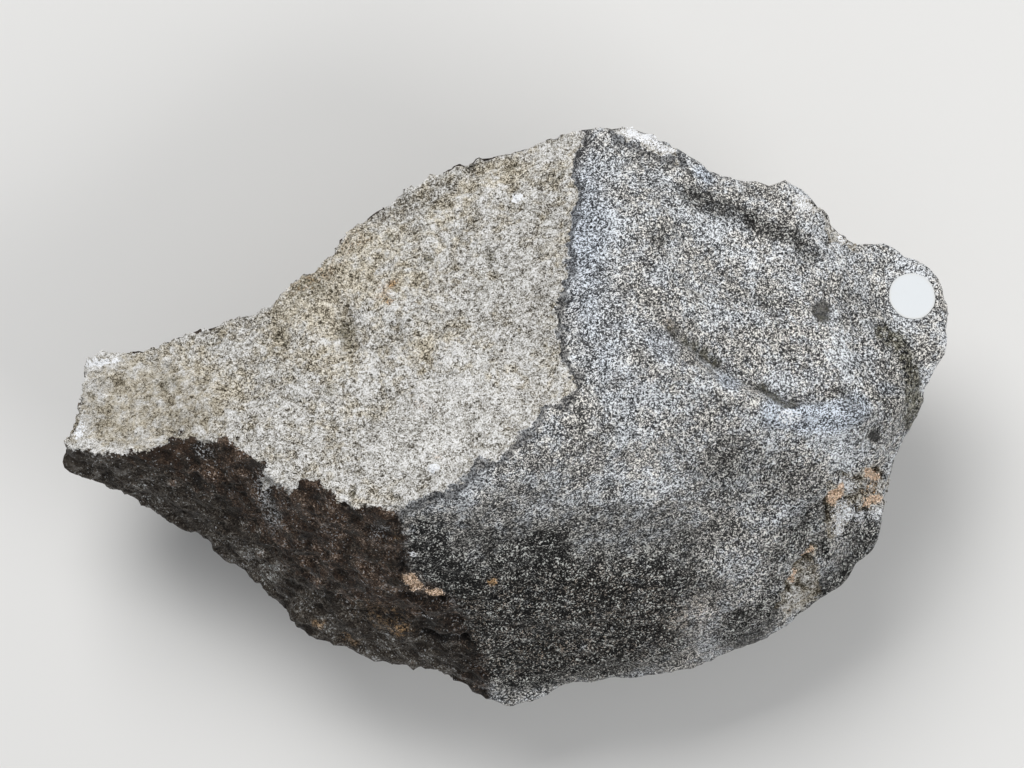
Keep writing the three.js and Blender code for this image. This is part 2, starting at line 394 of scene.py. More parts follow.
@dataclass(frozen=True)
class Blot:
    """A soft oval mark: its centre and half lengths on the drawing level in mm, and its turn in degrees."""

    x: float
    y: float
    long: float
    wide: float
    turn: float = 0.0
    strength: float = 1.0
    core: float = 0.35

    def weight(self, plan: np.ndarray) -> np.ndarray:
        """How strongly the mark is felt at each spot.

        Args:
            plan: spots on the drawing level, in mm.

        Returns:
            The mark's strength there.
        """
        angle = math.radians(self.turn)
        along = np.array([math.cos(angle), math.sin(angle)])
        across = np.array([-along[1], along[0]])
        offset = plan - np.array([self.x, self.y])
        reach = np.hypot(offset @ along / self.long, offset @ across / self.wide)
        return self.strength * (1.0 - smooth_step(self.core, 1.0, reach))


@dataclass(frozen=True)
class Stroke:
    """A line mark: its points on the drawing level, its half width and the width it fades over, in mm."""

    points: tuple[Pair, ...]
    half: float
    fade: float
    strength: float = 1.0

    def weight(self, plan: np.ndarray) -> np.ndarray:
        """How strongly the mark is felt at each spot.

        Args:
            plan: spots on the drawing level, in mm.

        Returns:
            The mark's strength there.
        """
        gap = line_distance(plan, self.points)
        return self.strength * (1.0 - smooth_step(self.half, self.half + self.fade, gap))


@dataclass(frozen=True)
class Knock:
    """A round mark on a hidden side: its centre and reach in mm, and its strength."""

    x: float
    y: float
    z: float
    reach: float
    strength: float = 1.0

    def gap(self, spots: np.ndarray) -> np.ndarray:
        """How far inside the mark each point lies, in mm."""
        return self.reach - np.linalg.norm(spots - np.array([self.x, self.y, self.z]), axis=1)


def blots(*rows: tuple[float, ...]) -> tuple[Blot, ...]:
    """Soft oval marks, each from a row of its numbers in the order of a blot's own fields."""
    return tuple(Blot(*row) for row in rows)


Outline = tuple[Pair, ...]

BROWN_BORDER: Outline = (
    (-73.4, -4.6), (-72.2, -5.1), (-70.5, -5.6), (-67.9, -5.7), (-63.7, -5.4), (-60.3, -4.9),
    (-58.1, -4.4), (-56.9, -3.5), (-55.5, -3.0), (-53.5, -2.8), (-50.9, -3.4), (-47.5, -3.5),
    (-45.8, -4.4), (-44.1, -5.7), (-42.4, -6.6), (-41.2, -7.6), (-40.7, -8.8), (-41.6, -10.2),
    (-41.4, -12.2), (-39.0, -11.0), (-37.7, -11.4), (-36.5, -12.2), (-35.5, -11.4), (-34.8, -10.5),
    (-33.1, -10.5), (-31.4, -10.8), (-30.0, -11.9), (-28.8, -13.1), (-27.6, -14.1), (-25.9, -14.9),
    (-24.2, -14.9), (-22.5, -14.4), (-20.8, -15.3), (-19.1, -15.8),
)
LOWER_BORDER: Outline = (
    (-17.8, -14.9), (-16.1, -13.9), (-14.4, -13.2), (-13.0, -12.4), (-11.0, -12.2), (-9.3, -11.4),
    (-7.6, -10.5), (-7.2, -9.3), (-5.9, -8.5), (-4.5, -6.8), (-3.3, -6.2), (-1.3, -6.8), (-0.3, -5.6),
    (0.6, -3.9), (2.6, -2.8), (4.3, -1.7), (5.7, 0.0), (6.0, 1.7), (7.2, 2.6), (9.1, 3.1), (10.8, 4.0),
    (12.0, 4.8),
)
STRIP_BORDER: Outline = (
    (12.0, 6.8), (10.8, 8.2), (9.9, 10.2), (9.4, 11.9), (8.9, 14.5), (8.7, 17.4), (9.4, 20.4),
    (9.9, 23.0), (10.8, 25.5), (10.6, 28.9), (11.1, 32.3), (11.8, 34.9), (12.0, 38.3), (11.5, 40.8),
    (11.6, 43.4), (12.5, 45.9), (13.7, 48.5),
)
BEYOND_BROKEN: Outline = (
    (14.9, 52.4), (-5.9, 56.0), (-25.0, 45.0), (-40.0, 32.0), (-50.0, 24.0), (-70.5, 18.0),
    (-82.0, 12.0), (-82.0, -4.6),
)
BROWN_END: Outline = (
    (-17.8, -17.8), (-17.8, -21.2), (-17.4, -23.8), (-16.0, -26.6), (-10.4, -30.4), (-7.6, -33.6),
    (-6.2, -37.4), (-5.4, -40.0), (-4.4, -42.8), (-3.2, -47.6),
)
BEYOND_BROWN: Outline = ((-4.2, -60.0), (-26.3, -56.0), (-51.8, -40.0), (-85.0, -20.0), (-85.0, -4.6))

BROKEN_OUTLINE = BROWN_BORDER + LOWER_BORDER + STRIP_BORDER + BEYOND_BROKEN
BROWN_OUTLINE = BROWN_BORDER + BROWN_END + BEYOND_BROWN
EXPOSURES: tuple[Outline, ...] = (
    (
        (18.6, 51.5), (19.5, 48.2), (22.0, 47.0), (24.4, 45.9), (26.4, 44.8), (29.1, 44.2),
        (29.8, 45.9), (29.0, 50.0),
    ),
    (
        (53.6, 38.0), (53.6, 34.4), (55.0, 32.0), (56.7, 30.0), (58.7, 29.3), (60.5, 30.0),
        (59.4, 34.0), (56.5, 38.0),
    ),
    ((49.5, 38.4), (51.6, 38.0), (53.6, 36.3), (52.9, 34.6), (50.7, 35.4), (49.3, 36.6)),
    (
        (59.9, -8.5), (61.4, -7.4), (62.8, -7.6), (65.2, -9.5), (64.7, -13.9), (63.0, -15.6),
        (60.8, -15.6), (59.6, -14.4), (58.6, -17.0), (57.4, -19.5), (55.0, -20.0), (54.0, -17.8),
        (55.0, -15.6), (54.4, -13.1), (55.4, -10.7), (57.9, -9.5),
    ),
    (
        (50.7, -22.9), (51.6, -21.4), (52.8, -21.0), (53.4, -22.4), (52.4, -24.3), (53.4, -25.6),
        (52.9, -28.0), (54.0, -28.9), (52.1, -31.2), (49.4, -32.6), (47.3, -33.4), (46.6, -31.1),
        (47.5, -28.9), (48.3, -26.5), (49.5, -24.6),
    ),
)
GROOVE: Outline = ((27.8, 16.2), (29.8, 14.3), (31.9, 12.8), (34.1, 11.4), (35.9, 9.9))
GROOVE_FAINT: Outline = ((35.9, 9.9), (40.0, 7.2), (43.8, 5.3))
GROOVE_END: Outline = ((43.8, 5.5), (45.5, 4.1), (47.3, 2.6), (49.4, 2.8))
LOWER_RIDGE: Outline = ((46.0, 1.4), (50.2, 0.5), (55.3, 0.4), (59.6, 2.1))
UPPER_BANDS: tuple[Outline, ...] = (
    ((31.5, 38.0), (36.0, 36.0), (41.0, 34.2)),
    ((43.0, 33.4), (48.0, 31.4), (52.0, 28.5)),
)
RIGHT_WALL: Outline = ((59.6, 20.4), (63.8, 13.6), (66.4, 8.5), (68.1, 1.7))
OLIVE_WALL: Outline = ((64.3, 15.0), (67.2, 12.8), (68.9, 8.5), (69.3, 3.4), (68.6, 0.0))
LOWER_RIM: Outline = ((63.8, -17.0), (60.4, -23.8), (55.3, -28.9))
BROWN_RIM: Outline = (
    (-70.5, -9.8), (-60.3, -14.4), (-51.8, -18.7), (-43.3, -27.2), (-34.8, -34.0), (-24.6, -38.2),
    (-12.7, -40.8),
)
CRUST_RIM: Outline = (
    (-4.0, -50.0), (12.0, -49.5), (30.0, -44.5), (44.0, -37.0), (56.0, -27.0), (62.0, -17.0),
)
BROKEN_RIM: Outline = ((-55.0, 15.0), (-40.0, 17.5), (-28.9, 30.0), (-14.4, 38.0), (2.0, 46.0))
CRACK: Outline = (
    (-14.4, -36.0), (-12.7, -36.3), (-11.0, -36.7), (-8.9, -36.5), (-7.6, -36.9), (-6.4, -37.2),
)
PIT_CREASE: Outline = ((-16.9, -29.4), (-15.2, -29.5), (-13.5, -30.1), (-11.7, -30.6), (-10.1, -30.2))
TAIL_NICK: Outline = ((-72.9, -2.2), (-72.4, -0.4))
GLINT_BAND: Outline = ((-41.6, -9.4), (-40.8, -13.0), (-38.6, -17.6))
TAIL_FLAKE: Outline = ((-70.0, 13.4), (-65.7, 13.4), (-64.8, 10.9), (-66.1, 9.9), (-70.6, 9.7))
FLAKE_EDGE: Outline = ((-70.4, 9.5), (-68.2, 9.6), (-66.2, 10.0))

TAN_PATCHES: tuple[Outline, ...] = (
    (
        (-17.3, -26.0), (-16.2, -25.7), (-15.2, -26.0), (-14.6, -26.7), (-14.2, -27.5), (-13.7, -28.0),
        (-14.4, -28.5), (-15.4, -28.5), (-16.2, -27.7), (-17.1, -27.0),
    ),
    (
        (-13.7, -28.5), (-12.7, -28.7), (-11.7, -28.5), (-10.8, -28.5), (-10.3, -29.2), (-10.2, -30.2),
        (-11.0, -30.1), (-12.0, -29.6), (-13.2, -29.4),
    ),
    (
        (57.2, -10.0), (56.6, -10.9), (55.4, -12.0), (54.7, -12.9), (55.0, -13.9), (55.7, -14.6),
        (56.4, -13.6), (57.0, -12.4), (57.5, -11.0),
    ),
    ((60.8, -8.0), (61.8, -7.8), (62.5, -8.5), (63.8, -9.3), (62.8, -10.2), (61.6, -9.7), (60.8, -8.8)),
    (
        (61.8, -12.7), (63.8, -12.5), (63.8, -13.6), (62.6, -14.1), (61.8, -14.4), (60.9, -14.9),
        (60.8, -14.1), (61.4, -13.2),
    ),
    ((50.2, -22.6), (51.2, -22.1), (52.4, -21.4), (52.6, -22.1), (51.8, -22.8), (50.7, -23.2)),
    ((48.4, -26.7), (48.9, -25.6), (49.7, -25.4), (49.8, -26.7), (49.3, -27.9), (48.4, -27.4)),
)
FRAGMENTS: tuple[Outline, ...] = (
    (
        (56.3, -14.4), (57.9, -13.6), (59.2, -14.8), (59.1, -15.9), (58.0, -17.0), (57.5, -18.3),
        (56.7, -19.7), (55.8, -18.7), (56.2, -16.6),
    ),
    ((62.5, -14.8), (63.8, -14.8), (63.8, -15.6), (63.1, -16.6), (62.1, -16.3)),
    ((60.1, -15.6), (61.1, -15.9), (60.8, -17.0), (59.9, -16.6)),
    ((57.4, -10.5), (58.4, -9.8), (59.1, -11.0), (58.2, -12.2), (57.4, -11.7)),
    ((19.6, 49.8), (22.0, 47.4), (25.0, 46.6), (27.6, 45.4), (28.6, 46.2), (24.0, 50.0)),
    ((57.4, 30.6), (59.6, 30.2), (58.8, 33.0), (56.2, 35.0)),
    ((50.0, 38.2), (52.6, 36.0), (51.8, 35.4), (49.8, 36.8)),
)
GAPS: tuple[Outline, ...] = (
    ((57.4, -13.1), (58.4, -13.4), (59.7, -12.5), (60.8, -12.0)),
    ((59.2, -14.4), (59.9, -15.6), (58.9, -17.3), (57.9, -18.7)),
    ((60.8, -14.6), (61.4, -15.6)),
    ((56.7, -8.8), (58.7, -9.8), (60.2, -9.4)),
    ((54.5, -13.6), (54.8, -16.3)),
    ((54.1, -20.4), (54.6, -23.1)),
    ((51.1, -23.2), (52.3, -23.8)),
    ((47.8, -27.7), (48.4, -28.9)),
    ((50.2, -27.8), (51.2, -28.9)),
    ((62.8, -8.3), (64.7, -9.7)),
    ((-17.3, -22.1), (-17.6, -25.5)),
)
CREASES: tuple[Outline, ...] = (
    ((-27.5, 19.2), (-27.0, 16.2), (-26.1, 12.4)),
    ((-30.2, 25.2), (-27.1, 25.4), (-23.4, 25.0)),
    ((-18.6, 15.3), (-19.8, 11.9)),
)

MARKS: dict[Layer, tuple[Blot | Stroke, ...]] = {
    # Painted shade and painted light, with some real lighter and darker patches: shade in the groove, under
    # the upper rim bands, along the right wall, in the crack, pits, gaps and creases, along the broken rim
    # and the lower rims and over the low crust; lighter along the brown rim; a painted highlight on the
    # lower ridge.
    Layer.TONE_AND_PAINTED_SHADE: (
        Stroke(GROOVE, 0.3, 1.5, -0.6),
        Stroke(GROOVE_FAINT, 0.2, 1.1, -0.5),
        Stroke(GROOVE_END, 0.3, 1.0, -0.8),
        *(Stroke(band, 0.6, 2.6, -1.3) for band in UPPER_BANDS),
        Stroke(RIGHT_WALL, 1.6, 4.0, -0.6),
        Stroke(OLIVE_WALL, 0.6, 1.6, -0.7),
        Stroke(LOWER_RIDGE[:3], 0.8, 1.8, 0.5),
        Stroke(LOWER_RIM, 0.8, 3.2, -1.0),
        Stroke(CRACK, 0.35, 0.5, -4.5),
        Stroke(PIT_CREASE, 0.25, 0.5, -2.6),
        *(Stroke(gap, 0.15, 0.6, -2.4) for gap in GAPS),
        *(Stroke(crease, 0.1, 1.2, -0.25) for crease in CREASES),
        Stroke(BROWN_RIM, 2.2, 6.0, 0.8),
        Stroke(BROKEN_RIM, 0.5, 3.4, -0.55),
        # the broken face
        *blots(
            (-62, 4, 14, 9, 0, -0.25), (-54, 0.4, 5, 3, 10, -0.6), (-50.4, 2.6, 4.6, 4.2, 0, -0.35),
            (-38, 9.5, 8, 6, 0, -0.2), (-37.3, 15.3, 3, 2.6, 0, -0.5), (-33, 24, 6, 6, 40, -0.35),
            (-27.1, 16.6, 3, 4, 20, -0.5), (-22, 6, 5, 4, 0, 0.3), (-12.6, 29, 5, 4, 0, 0.25),
            (-9.8, -5, 8, 4, 30, 0.2), (-5.9, 3.4, 20, 13, 30, 0.3), (-3, 40.5, 5, 3.4, 0, 0.25),
        ),
        # the brown face
        *blots(
            (-40.2, -26.3, 3.6, 5.6, -30), (-40.2, -24, 4, 6, -30, 0.7), (-34.7, -16, 2.4, 2.6),
            (-26, -27, 4, 9, 0, 0.5),
        ),
        # the upper crust and its right end
        *blots(
            (11, 8.6, 4, 3, 0, 0.3), (14.5, 5.1, 4.6, 2.6, 30, 0.5), (17, -1.6, 3, 3, 0, -0.7),
            (20.6, -1, 3.4, 3, 0, -0.5), (25.6, 27.5, 3, 7.5, 0, -0.5), (25.6, 39.7, 2.6, 4.4, 0, -0.6),
            (26.4, 12.8, 4.5, 3.4, -30, 0.4), (27.5, 32, 6, 3, 20, -0.5), (31.6, 27.2, 4, 3, 0, 0.25),
            (33.5, 10.5, 2.6, 5, 30, -0.4), (37, 24, 22, 16, -20, 0.12),
            (38, 22, 24, 16, -20, -0.15, 0.5), (40.9, 18.7, 9, 8, 0, -0.25, 0.4),
            (41, 31, 4.4, 3, 0, 0.3), (41.7, 30.6, 9, 6, -30, 0.35), (43, 20.5, 6, 2, -5, -0.45),
            (43.5, 7.8, 4, 2.4, 0, 0.45), (44.3, 35.2, 6, 1.6, -20, 0.5), (50.3, 14.5, 9, 3.4, 0, 0.4),
            (53, 1.4, 9, 3, 5, -0.35, 0.4), (53.8, 18.4, 2.4, 2, 80, -0.9, 0.7),
            (56.7, 4.8, 3.4, 1.8, 10, -0.9), (58.6, 13, 3.4, 2.6, 0, 0.35), (59, 3, 2.6, 1.8, 0, -0.7),
            (60, 8.6, 3.4, 2.4, 0, -0.5), (62, -3, 6, 8, 0, -0.6, 0.4),
            (62.5, -2.5, 1.6, 1.4, 80, -1, 0.55), (63.6, 23.6, 2.4, 3.4, 0, 0.4),
            (64.2, 24.6, 3, 4, 60, 0.4),
        ),
        # the low crust, mostly painted shade where it turns from the light
        *blots(
            (-13.5, -21.5, 5, 8, 0, -1.8), (-9, -28.9, 8, 8, 0, -1.4), (-6, -32, 9, 8, -30, -1.2),
            (-5, -20.4, 10, 9, 20, -0.9), (-3.5, -44, 4, 3, -30, 0.5), (-2.5, -17, 4, 2.2, 20, 0.4),
            (0.1, -39.9, 13, 9, -20, -1.2), (2.6, -28.9, 10, 8, 0, -0.7), (4, -11.5, 10, 6, 20, -0.5),
            (5.6, -26, 8, 12, -10, -1), (8, -33, 12, 9, 0, -0.6), (9, -34, 22, 11, 5, -0.6, 0.5),
            (12, -40, 26, 6, 6, -1, 0.5), (14, -24, 28, 16, 12, -0.75), (19.6, -33, 20, 13, 12, -1.2),
            (19.6, -16.1, 16, 12, 20, -0.15), (22, -39.5, 5, 3.6, 10, 0.4), (23.5, -10, 5, 6, 0, 0.5),
            (23.9, -7.6, 3.6, 3.4, 0, 0.4), (30.5, -20.5, 3, 3.6, 0, -0.5), (31, -27, 12, 8, 10, -0.5),
            (33.2, -31.4, 4.4, 3.4, 0, 0.8), (36, -35, 8, 5, 20, -0.3, 0.4), (36, -6, 12, 9, -20, -0.3),
            (40, -28, 12, 7, 35, -0.4), (40.9, -34.8, 9, 4.6, 30, -1.2),
            (42, -13, 17, 13, -10, -0.5, 0.4), (44, -8, 14, 10, -10, -0.3, 0.4),
            (45.5, -29.5, 3, 5, -20, -1), (50, -19, 5, 12, -35, -0.4), (56, -22, 12, 16, -30, -0.7, 0.5),
            (59, -14, 6, 8, -20, -0.6, 0.5), (60, -8.5, 7, 13, 20, 0.3),
        ),
    ),
    # Painted bluish sheen: on the lower ridge, along the brown rim, over the strip beside the broken face
    # and on the crust's highlight spots.
    Layer.BLUE: (
        Stroke(LOWER_RIDGE, 1.2, 2.2, 1.3),
        Stroke(BROWN_RIM, 2.6, 6.5, 1.1),
        *blots(
            (13.5, 33, 7.5, 21, 0, 0.95, 0.15), (16.5, 14, 8, 15, 0, 0.6, 0.15),
            (26.4, 12.6, 5.2, 3.8, -35, 0.9), (38, 6.2, 3.2, 1.8, -30, 0.9),
            (65, 5.2, 3, 1.8, -20, 0.9), (33.7, 41.5, 3.2, 1.8, -40, 1.3),
            (-50.8, -5.2, 2.4, 1.8, -30, 0.8), (-40, -13.6, 2, 4.6, 20, 0.5),
        ),
    ),
    Layer.RUST: blots(
        (-18.8, 23.2, 1.3, 1, 30, 0.9), (-19.3, 19.9, 1.1, 0.9, 0, 0.9),
        (-20.4, 21.6, 2.6, 2.8, 0, 0.55), (62.1, -11.9, 1.8, 3.8, -20, 0.5),
        (48, -32.3, 0.8, 0.6, 0, 0.9), (-26.3, -37, 2.6, 1.4, -20, 0.7),
        (-31.4, -34.4, 1.8, 1.2, 0, 0.7), (-17.8, -35.2, 2.2, 1.4, 10, 0.6),
        (-20.3, -33, 9, 3.4, -20, 0.35), (-18.3, -19.9, 0.8, 0.8),
        (-2.1, -27.2, 0.9, 0.8, 0, 1.5, 0.6), (27.8, 16.2, 2, 1.6, 0, 0.3),
        (-30, 26.5, 15, 2.6, 42, 0.35), (-14.4, 2.6, 2, 1.4, 0, 0.4),
        (-11.7, -6.2, 1.6, 1.2, 0, 0.4), (56.2, 33.6, 1.2, 2.2, 20, 0.5),
    ),
    Layer.SMOOTH: (
        Stroke(CRUST_RIM, 0.8, 2.6, 0.8),
        Stroke(GROOVE, 0.3, 1.6, 0.45),
        Stroke(GROOVE_END, 0.3, 1.2, 0.6),
        *blots(
            (53.8, 18.4, 2.4, 2, 80, 1, 0.7), (62.5, -2.5, 1.6, 1.4, 0, 1, 0.5),
            (-73.9, -6.5, 3, 3, 0, 1, 0.6), (-62, 2, 18, 13, 0, 1, 0.5),
            (50, -20, 22, 20, 50, -0.6, 0.5), (60, -13, 7, 9, -20, -1.3, 0.5),
            (53, 1.4, 9, 3, 5, -0.9, 0.4), (8, -32, 28, 16, 10, -0.2, 0.5),
            (64, 6, 8, 12, 0, -0.5, 0.4),
        ),
    ),
    Layer.FLOW: blots(
        (12, -20, 30, 18, 30, 1, 0.5), (55, 0, 9, 4, 80, 0.7),
    ),
    # Two real white grains and a white line under the tail flake; the rest are painted glints and a painted
    # highlight on the lower ridge.
    Layer.WHITE: (
        Stroke(FLAKE_EDGE, 0.14, 0.30, 1.5),
        Stroke(TAIL_NICK, 0.2, 0.5, 1.2),
        Stroke(GLINT_BAND, 0.4, 1.8, 0.20),
        *blots(
            (2.1, 37.8, 0.95, 0.8, 0, 1.6, 0.7), (-12.3, -8, 1, 0.9, 0, 1.6, 0.7),
            (-51.2, -5.2, 2.6, 1.2, -25, 0.18), (-21.2, -18.4, 2.6, 2.2, 0, 0.12),
            (-12.9, -33.1, 0.5, 0.3, 0, 1.3), (-15.7, -22.6, 0.7, 0.4, 0, 1.2),
            (42.1, -34.6, 0.5, 0.3, 30, 1.4), (48.6, 0.6, 3, 1.6, -10, 0.72),
        ),
    ),
    # Olive darkening along the right wall and the groove, in a few pits and creases and in patches.
    Layer.OLIVE: (
        Stroke(OLIVE_WALL, 0.8, 1.8, 0.75),
        Stroke(GROOVE, 0.4, 1.4, 0.6),
        Stroke(GROOVE_END, 0.3, 1.0, 0.7),
        *blots(
            (0.9, 42.9, 3, 1, 40, 0.9), (9.4, 41.7, 2, 0.9, 50, 0.9), (-27.1, 15.3, 3, 4.5, 20, 0.75),
            (-39, 13.6, 3, 2.4, 0, 0.65), (-13, 27.8, 1, 0.8, 0, 1.5, 0.6),
            (-25.9, -12.2, 0.8, 0.7, 0, 1.5, 0.6), (53.8, 18, 2.2, 1.8, 80, 0.45, 0.6),
            (-33, 22, 5, 5, 0, 0.5), (-30, 5, 4, 2.2, 30, 0.5), (-58, 6, 5, 2.5, 20, 0.5),
            (-2.3, 28, 1.2, 2.4, 15, 0.6), (-19.8, 31.3, 1.6, 1.2, 0, 0.8),
        ),
    ),
    Layer.OCHRE: blots(
        (-30, 24, 20, 7, 42, 1.2), (-58, 5, 18, 12, 10, 0.7), (-20, 22, 6, 5, 0, 0.9),
        (-13.7, 12.4, 3, 3.4, 0, 0.9), (-30, 12, 8, 9, 0, 0.6), (-4, 40, 16, 4, 35, 0.7),
        (-12, -2, 16, 12, 20, -1), (10, -34, 32, 12, 4, 0.9, 0.4), (6, -38.6, 6, 2, 8),
        (0, -42, 8, 3, 8, 0.6), (-7, -34, 5, 7, 0, 0.8), (2, 22, 8, 16, 0, -0.6),
    ),
    Layer.CARVE: (
        Stroke(GROOVE, 0.3, 1.6, -0.5),
        Stroke(GROOVE_END, 0.3, 1.2, -0.5),
        Stroke(CRACK, 0.15, 0.7, -1.3),
        Stroke(PIT_CREASE, 0.1, 0.8, -1.1),
        *(Stroke(gap, 0.1, 0.7, -0.6) for gap in GAPS),
        *(Stroke(crease, 0.2, 1.6, -0.7) for crease in CREASES),
        *blots(
            (47.5, 39.1, 1.6, 1.3, 0, 0.9), (-13, 27.8, 1.5, 1.1, 20, -0.9),
            (-25.9, -12.2, 1.1, 0.9, 0, -0.9), (-27.1, 15.3, 4.5, 6.5, 20, -0.8),
            (-39, 13.6, 4, 3, 0, -0.7), (2.1, 37.8, 0.8, 0.7, 0, 0.4), (-12.3, -8, 0.9, 0.8, 0, 0.4),
            (56.5, -15.5, 4.5, 2.4, 62, -0.7), (49.8, -26, 4.6, 2, 60, -0.6),
            (53.8, 18.4, 2.6, 2.2, 0, -0.25),
        ),
    ),
}
BACK_CHIPS: tuple[Knock, ...] = (
    Knock(-36.0, 24.0, 24.0, 11.0), Knock(40.0, 34.0, 22.0, 9.0),
    Knock(-73.0, 3.0, 30.0, 7.0), Knock(4.0, -38.0, 6.0, 7.0),
)
THUMB_MARKS: tuple[Knock, ...] = (
    Knock(20.0, 44.0, 24.0, 13.0, -1.6),
    Knock(-8.0, 38.0, 26.0, 12.0, -1.4),
    Knock(56.0, 22.0, 16.0, 14.0, -1.5),
    Knock(50.0, -12.0, 10.0, 13.0, -1.4),
    Knock(-40.0, -8.0, 14.0, 13.0, -1.3),
    Knock(30.0, -30.0, 8.0, 12.0, -1.2),
    Knock(-22.0, -24.0, 10.0, 12.0, -1.2),
)


# -------------------------------------------------------------------------------- finishes


Stops = tuple[tuple[float, Colour], ...]

# The crust's ramp. Its bright end lights up the beads and threads, which are partly painted glints on the
# dark crust.
CRUST_STOPS: Stops = (
    (0.28, (0.030, 0.030, 0.031, 1.0)),
    (0.40, (0.115, 0.115, 0.115, 1.0)),
    (0.50, (0.310, 0.310, 0.308, 1.0)),
    (0.59, (0.560, 0.560, 0.555, 1.0)),
    (0.70, (0.900, 0.900, 0.890, 1.0)),
)
BROKEN_STOPS: Stops = (
    (0.22, (0.040, 0.035, 0.028, 1.0)),
    (0.36, (0.185, 0.172, 0.142, 1.0)),
    (0.46, (0.430, 0.420, 0.385, 1.0)),
    (0.56, (0.570, 0.566, 0.536, 1.0)),
    (0.72, (0.840, 0.848, 0.840, 1.0)),
)
BROWN_STOPS: Stops = (
    (0.30, (0.006, 0.004, 0.003, 1.0)),
    (0.46, (0.020, 0.014, 0.011, 1.0)),
    (0.56, (0.052, 0.040, 0.032, 1.0)),
    (0.68, (0.150, 0.130, 0.120, 1.0)),
    (0.80, (0.560, 0.560, 0.580, 1.0)),
)


def open_material(name: str) -> tuple[bpy.types.Material, Graph, Wire]:
    """Starts a material.

    Args:
        name: its name.

    Returns:
        The material, its graph and the place on the surface, in mm.
    """
    material = bpy.data.materials.new(name)
    material.use_nodes = True
    graph = Graph(material.node_tree)
    place = graph.wire(graph.node("ShaderNodeTexCoord"), "Object")
    return material, graph, graph.vector("SCALE", place, scale=1.0 / MM)


def close_material(
    graph: Graph, values: dict[str, Any], height: Wire | None = None, depth: float = 1.0
) -> None:
    """Gives a material its shader.

    Args:
        graph: the material's graph.
        values: the shader's inputs.
        height: the surface's fine height in mm, for a bump.
        depth: the bump's strength.
    """
    if height is not None:
        bump = graph.node("ShaderNodeBump", {}, {"Strength": depth, "Distance": MM, "Height": height})
        values["Normal"] = bump.outputs["Normal"]
    shader = graph.node("ShaderNodeBsdfPrincipled", {}, values)
    graph.node("ShaderNodeOutputMaterial", {}, {"Surface": shader.outputs[0]})


@dataclass(frozen=True)
class Shares:
    """How strongly each pattern shows in a colour, and the place on its ramp that they vary around."""

    grain: float
    fine: float
    thread: float
    clump: float
    patch: float
    # The share of how far a point stands out: it darkens hollows and lightens bumps, painted shade.
    proud: float
    middle: float


@dataclass(frozen=True)
class StoneFinish:
    """Pale broken stone, fusion crust and brown stain, each where its edge distance says."""

    # The painted bluish sheen.
    sheen_blue: Colour = (0.91, 0.975, 1.08, 1.0)
    cool: Colour = (0.97, 0.995, 1.03, 1.0)
    warm: Colour = (1.04, 1.0, 0.94, 1.0)
    ochre: Colour = (1.06, 0.97, 0.83, 1.0)
    clean: Colour = (1.01, 0.99, 0.985, 1.0)
    umber: Colour = (1.20, 0.97, 0.77, 1.0)
    moss: Colour = (0.97, 1.01, 0.95, 1.0)
    tan: Colour = (0.80, 0.54, 0.34, 1.0)
    rust: Colour = (0.50, 0.31, 0.15, 1.0)
    olive: Colour = (0.17, 0.155, 0.095, 1.0)
    white: Colour = (0.92, 0.93, 0.95, 1.0)
    # The painted glints in the crust's painted shade.
    glint_white: Colour = (0.84, 0.85, 0.80, 1.0)
    line: Colour = (0.022, 0.022, 0.024, 1.0)
    beads: Shares = Shares(1.50, 1.10, 0.16, 0.42, 0.36, 0.034, 0.508)
    grains: Shares = Shares(1.25, 1.00, -0.15, 0.24, 0.52, 0.055, 0.538)
    stains: Shares = Shares(0.42, 0.0, 0.0, 0.0, 0.74, 0.0, 0.508)
    gloss: float = 0.17
    crust_rough: float = 0.52
    broken_rough: float = 0.85
    brown_rough: float = 0.45
    # How strongly the shade mark darkens and lightens every colour, in stops.
    tone_and_shade_step: float = 0.18
    flow_turn: float = 33.0
    flow_stretch: tuple[float, float, float] = (1.6, 0.95, 1.0)
    wobbles: Pattern = Pattern(1.5, 3.0, 0.65)
    clumps: Pattern = Pattern(0.60, 3.0, 0.65)
    patches: Pattern = Pattern(0.13, 3.0, 0.6)
    dust: Pattern = Pattern(4.6, 1.0, 0.5)
    hues: Pattern = Pattern(0.75, 3.0, 0.65, 2.0)
    round_beads: Pattern = Pattern(2.5, 2.0, 0.62, bend=0.6)
    drawn_beads: Pattern = Pattern(3.0, 2.0, 0.6, bend=0.4)
    threads: Pattern = Pattern(1.35, 1.0, 0.5, 14.0, 0.9)
    glints: Pattern = Pattern(3.1, 1.0, 0.5, 17.0)
    grit: Pattern = Pattern(2.0, 2.0, 0.62, bend=0.8)
    mottles: Pattern = Pattern(0.28, 4.0, 0.68, 4.0)
    hairlines: Pattern = Pattern(0.95, 3.0, 0.62, 6.0, 1.1)
    crowds: Pattern = Pattern(0.45, 2.0, 0.5, 8.0)
    brown_clouds: Pattern = Pattern(0.32, 4.0, 0.68, 7.0)
    sparks: Pattern = Pattern(2.6, 1.0, 0.5, 11.0)
    smears: Pattern = Pattern(0.9, 4.0, 0.72, 9.0)
    white_specks: Pattern = Pattern(2.9, 1.0, 0.5, 12.0)
    rust_rags: Pattern = Pattern(0.9, 5.0, 0.75, 5.0)

    def build(self) -> bpy.types.Material:
        """Writes the material.

        Returns:
            The material.
        """
        material, graph, spot = open_material("chondrite_stone")
        StonePaint(self, graph, spot).surface()
        return material


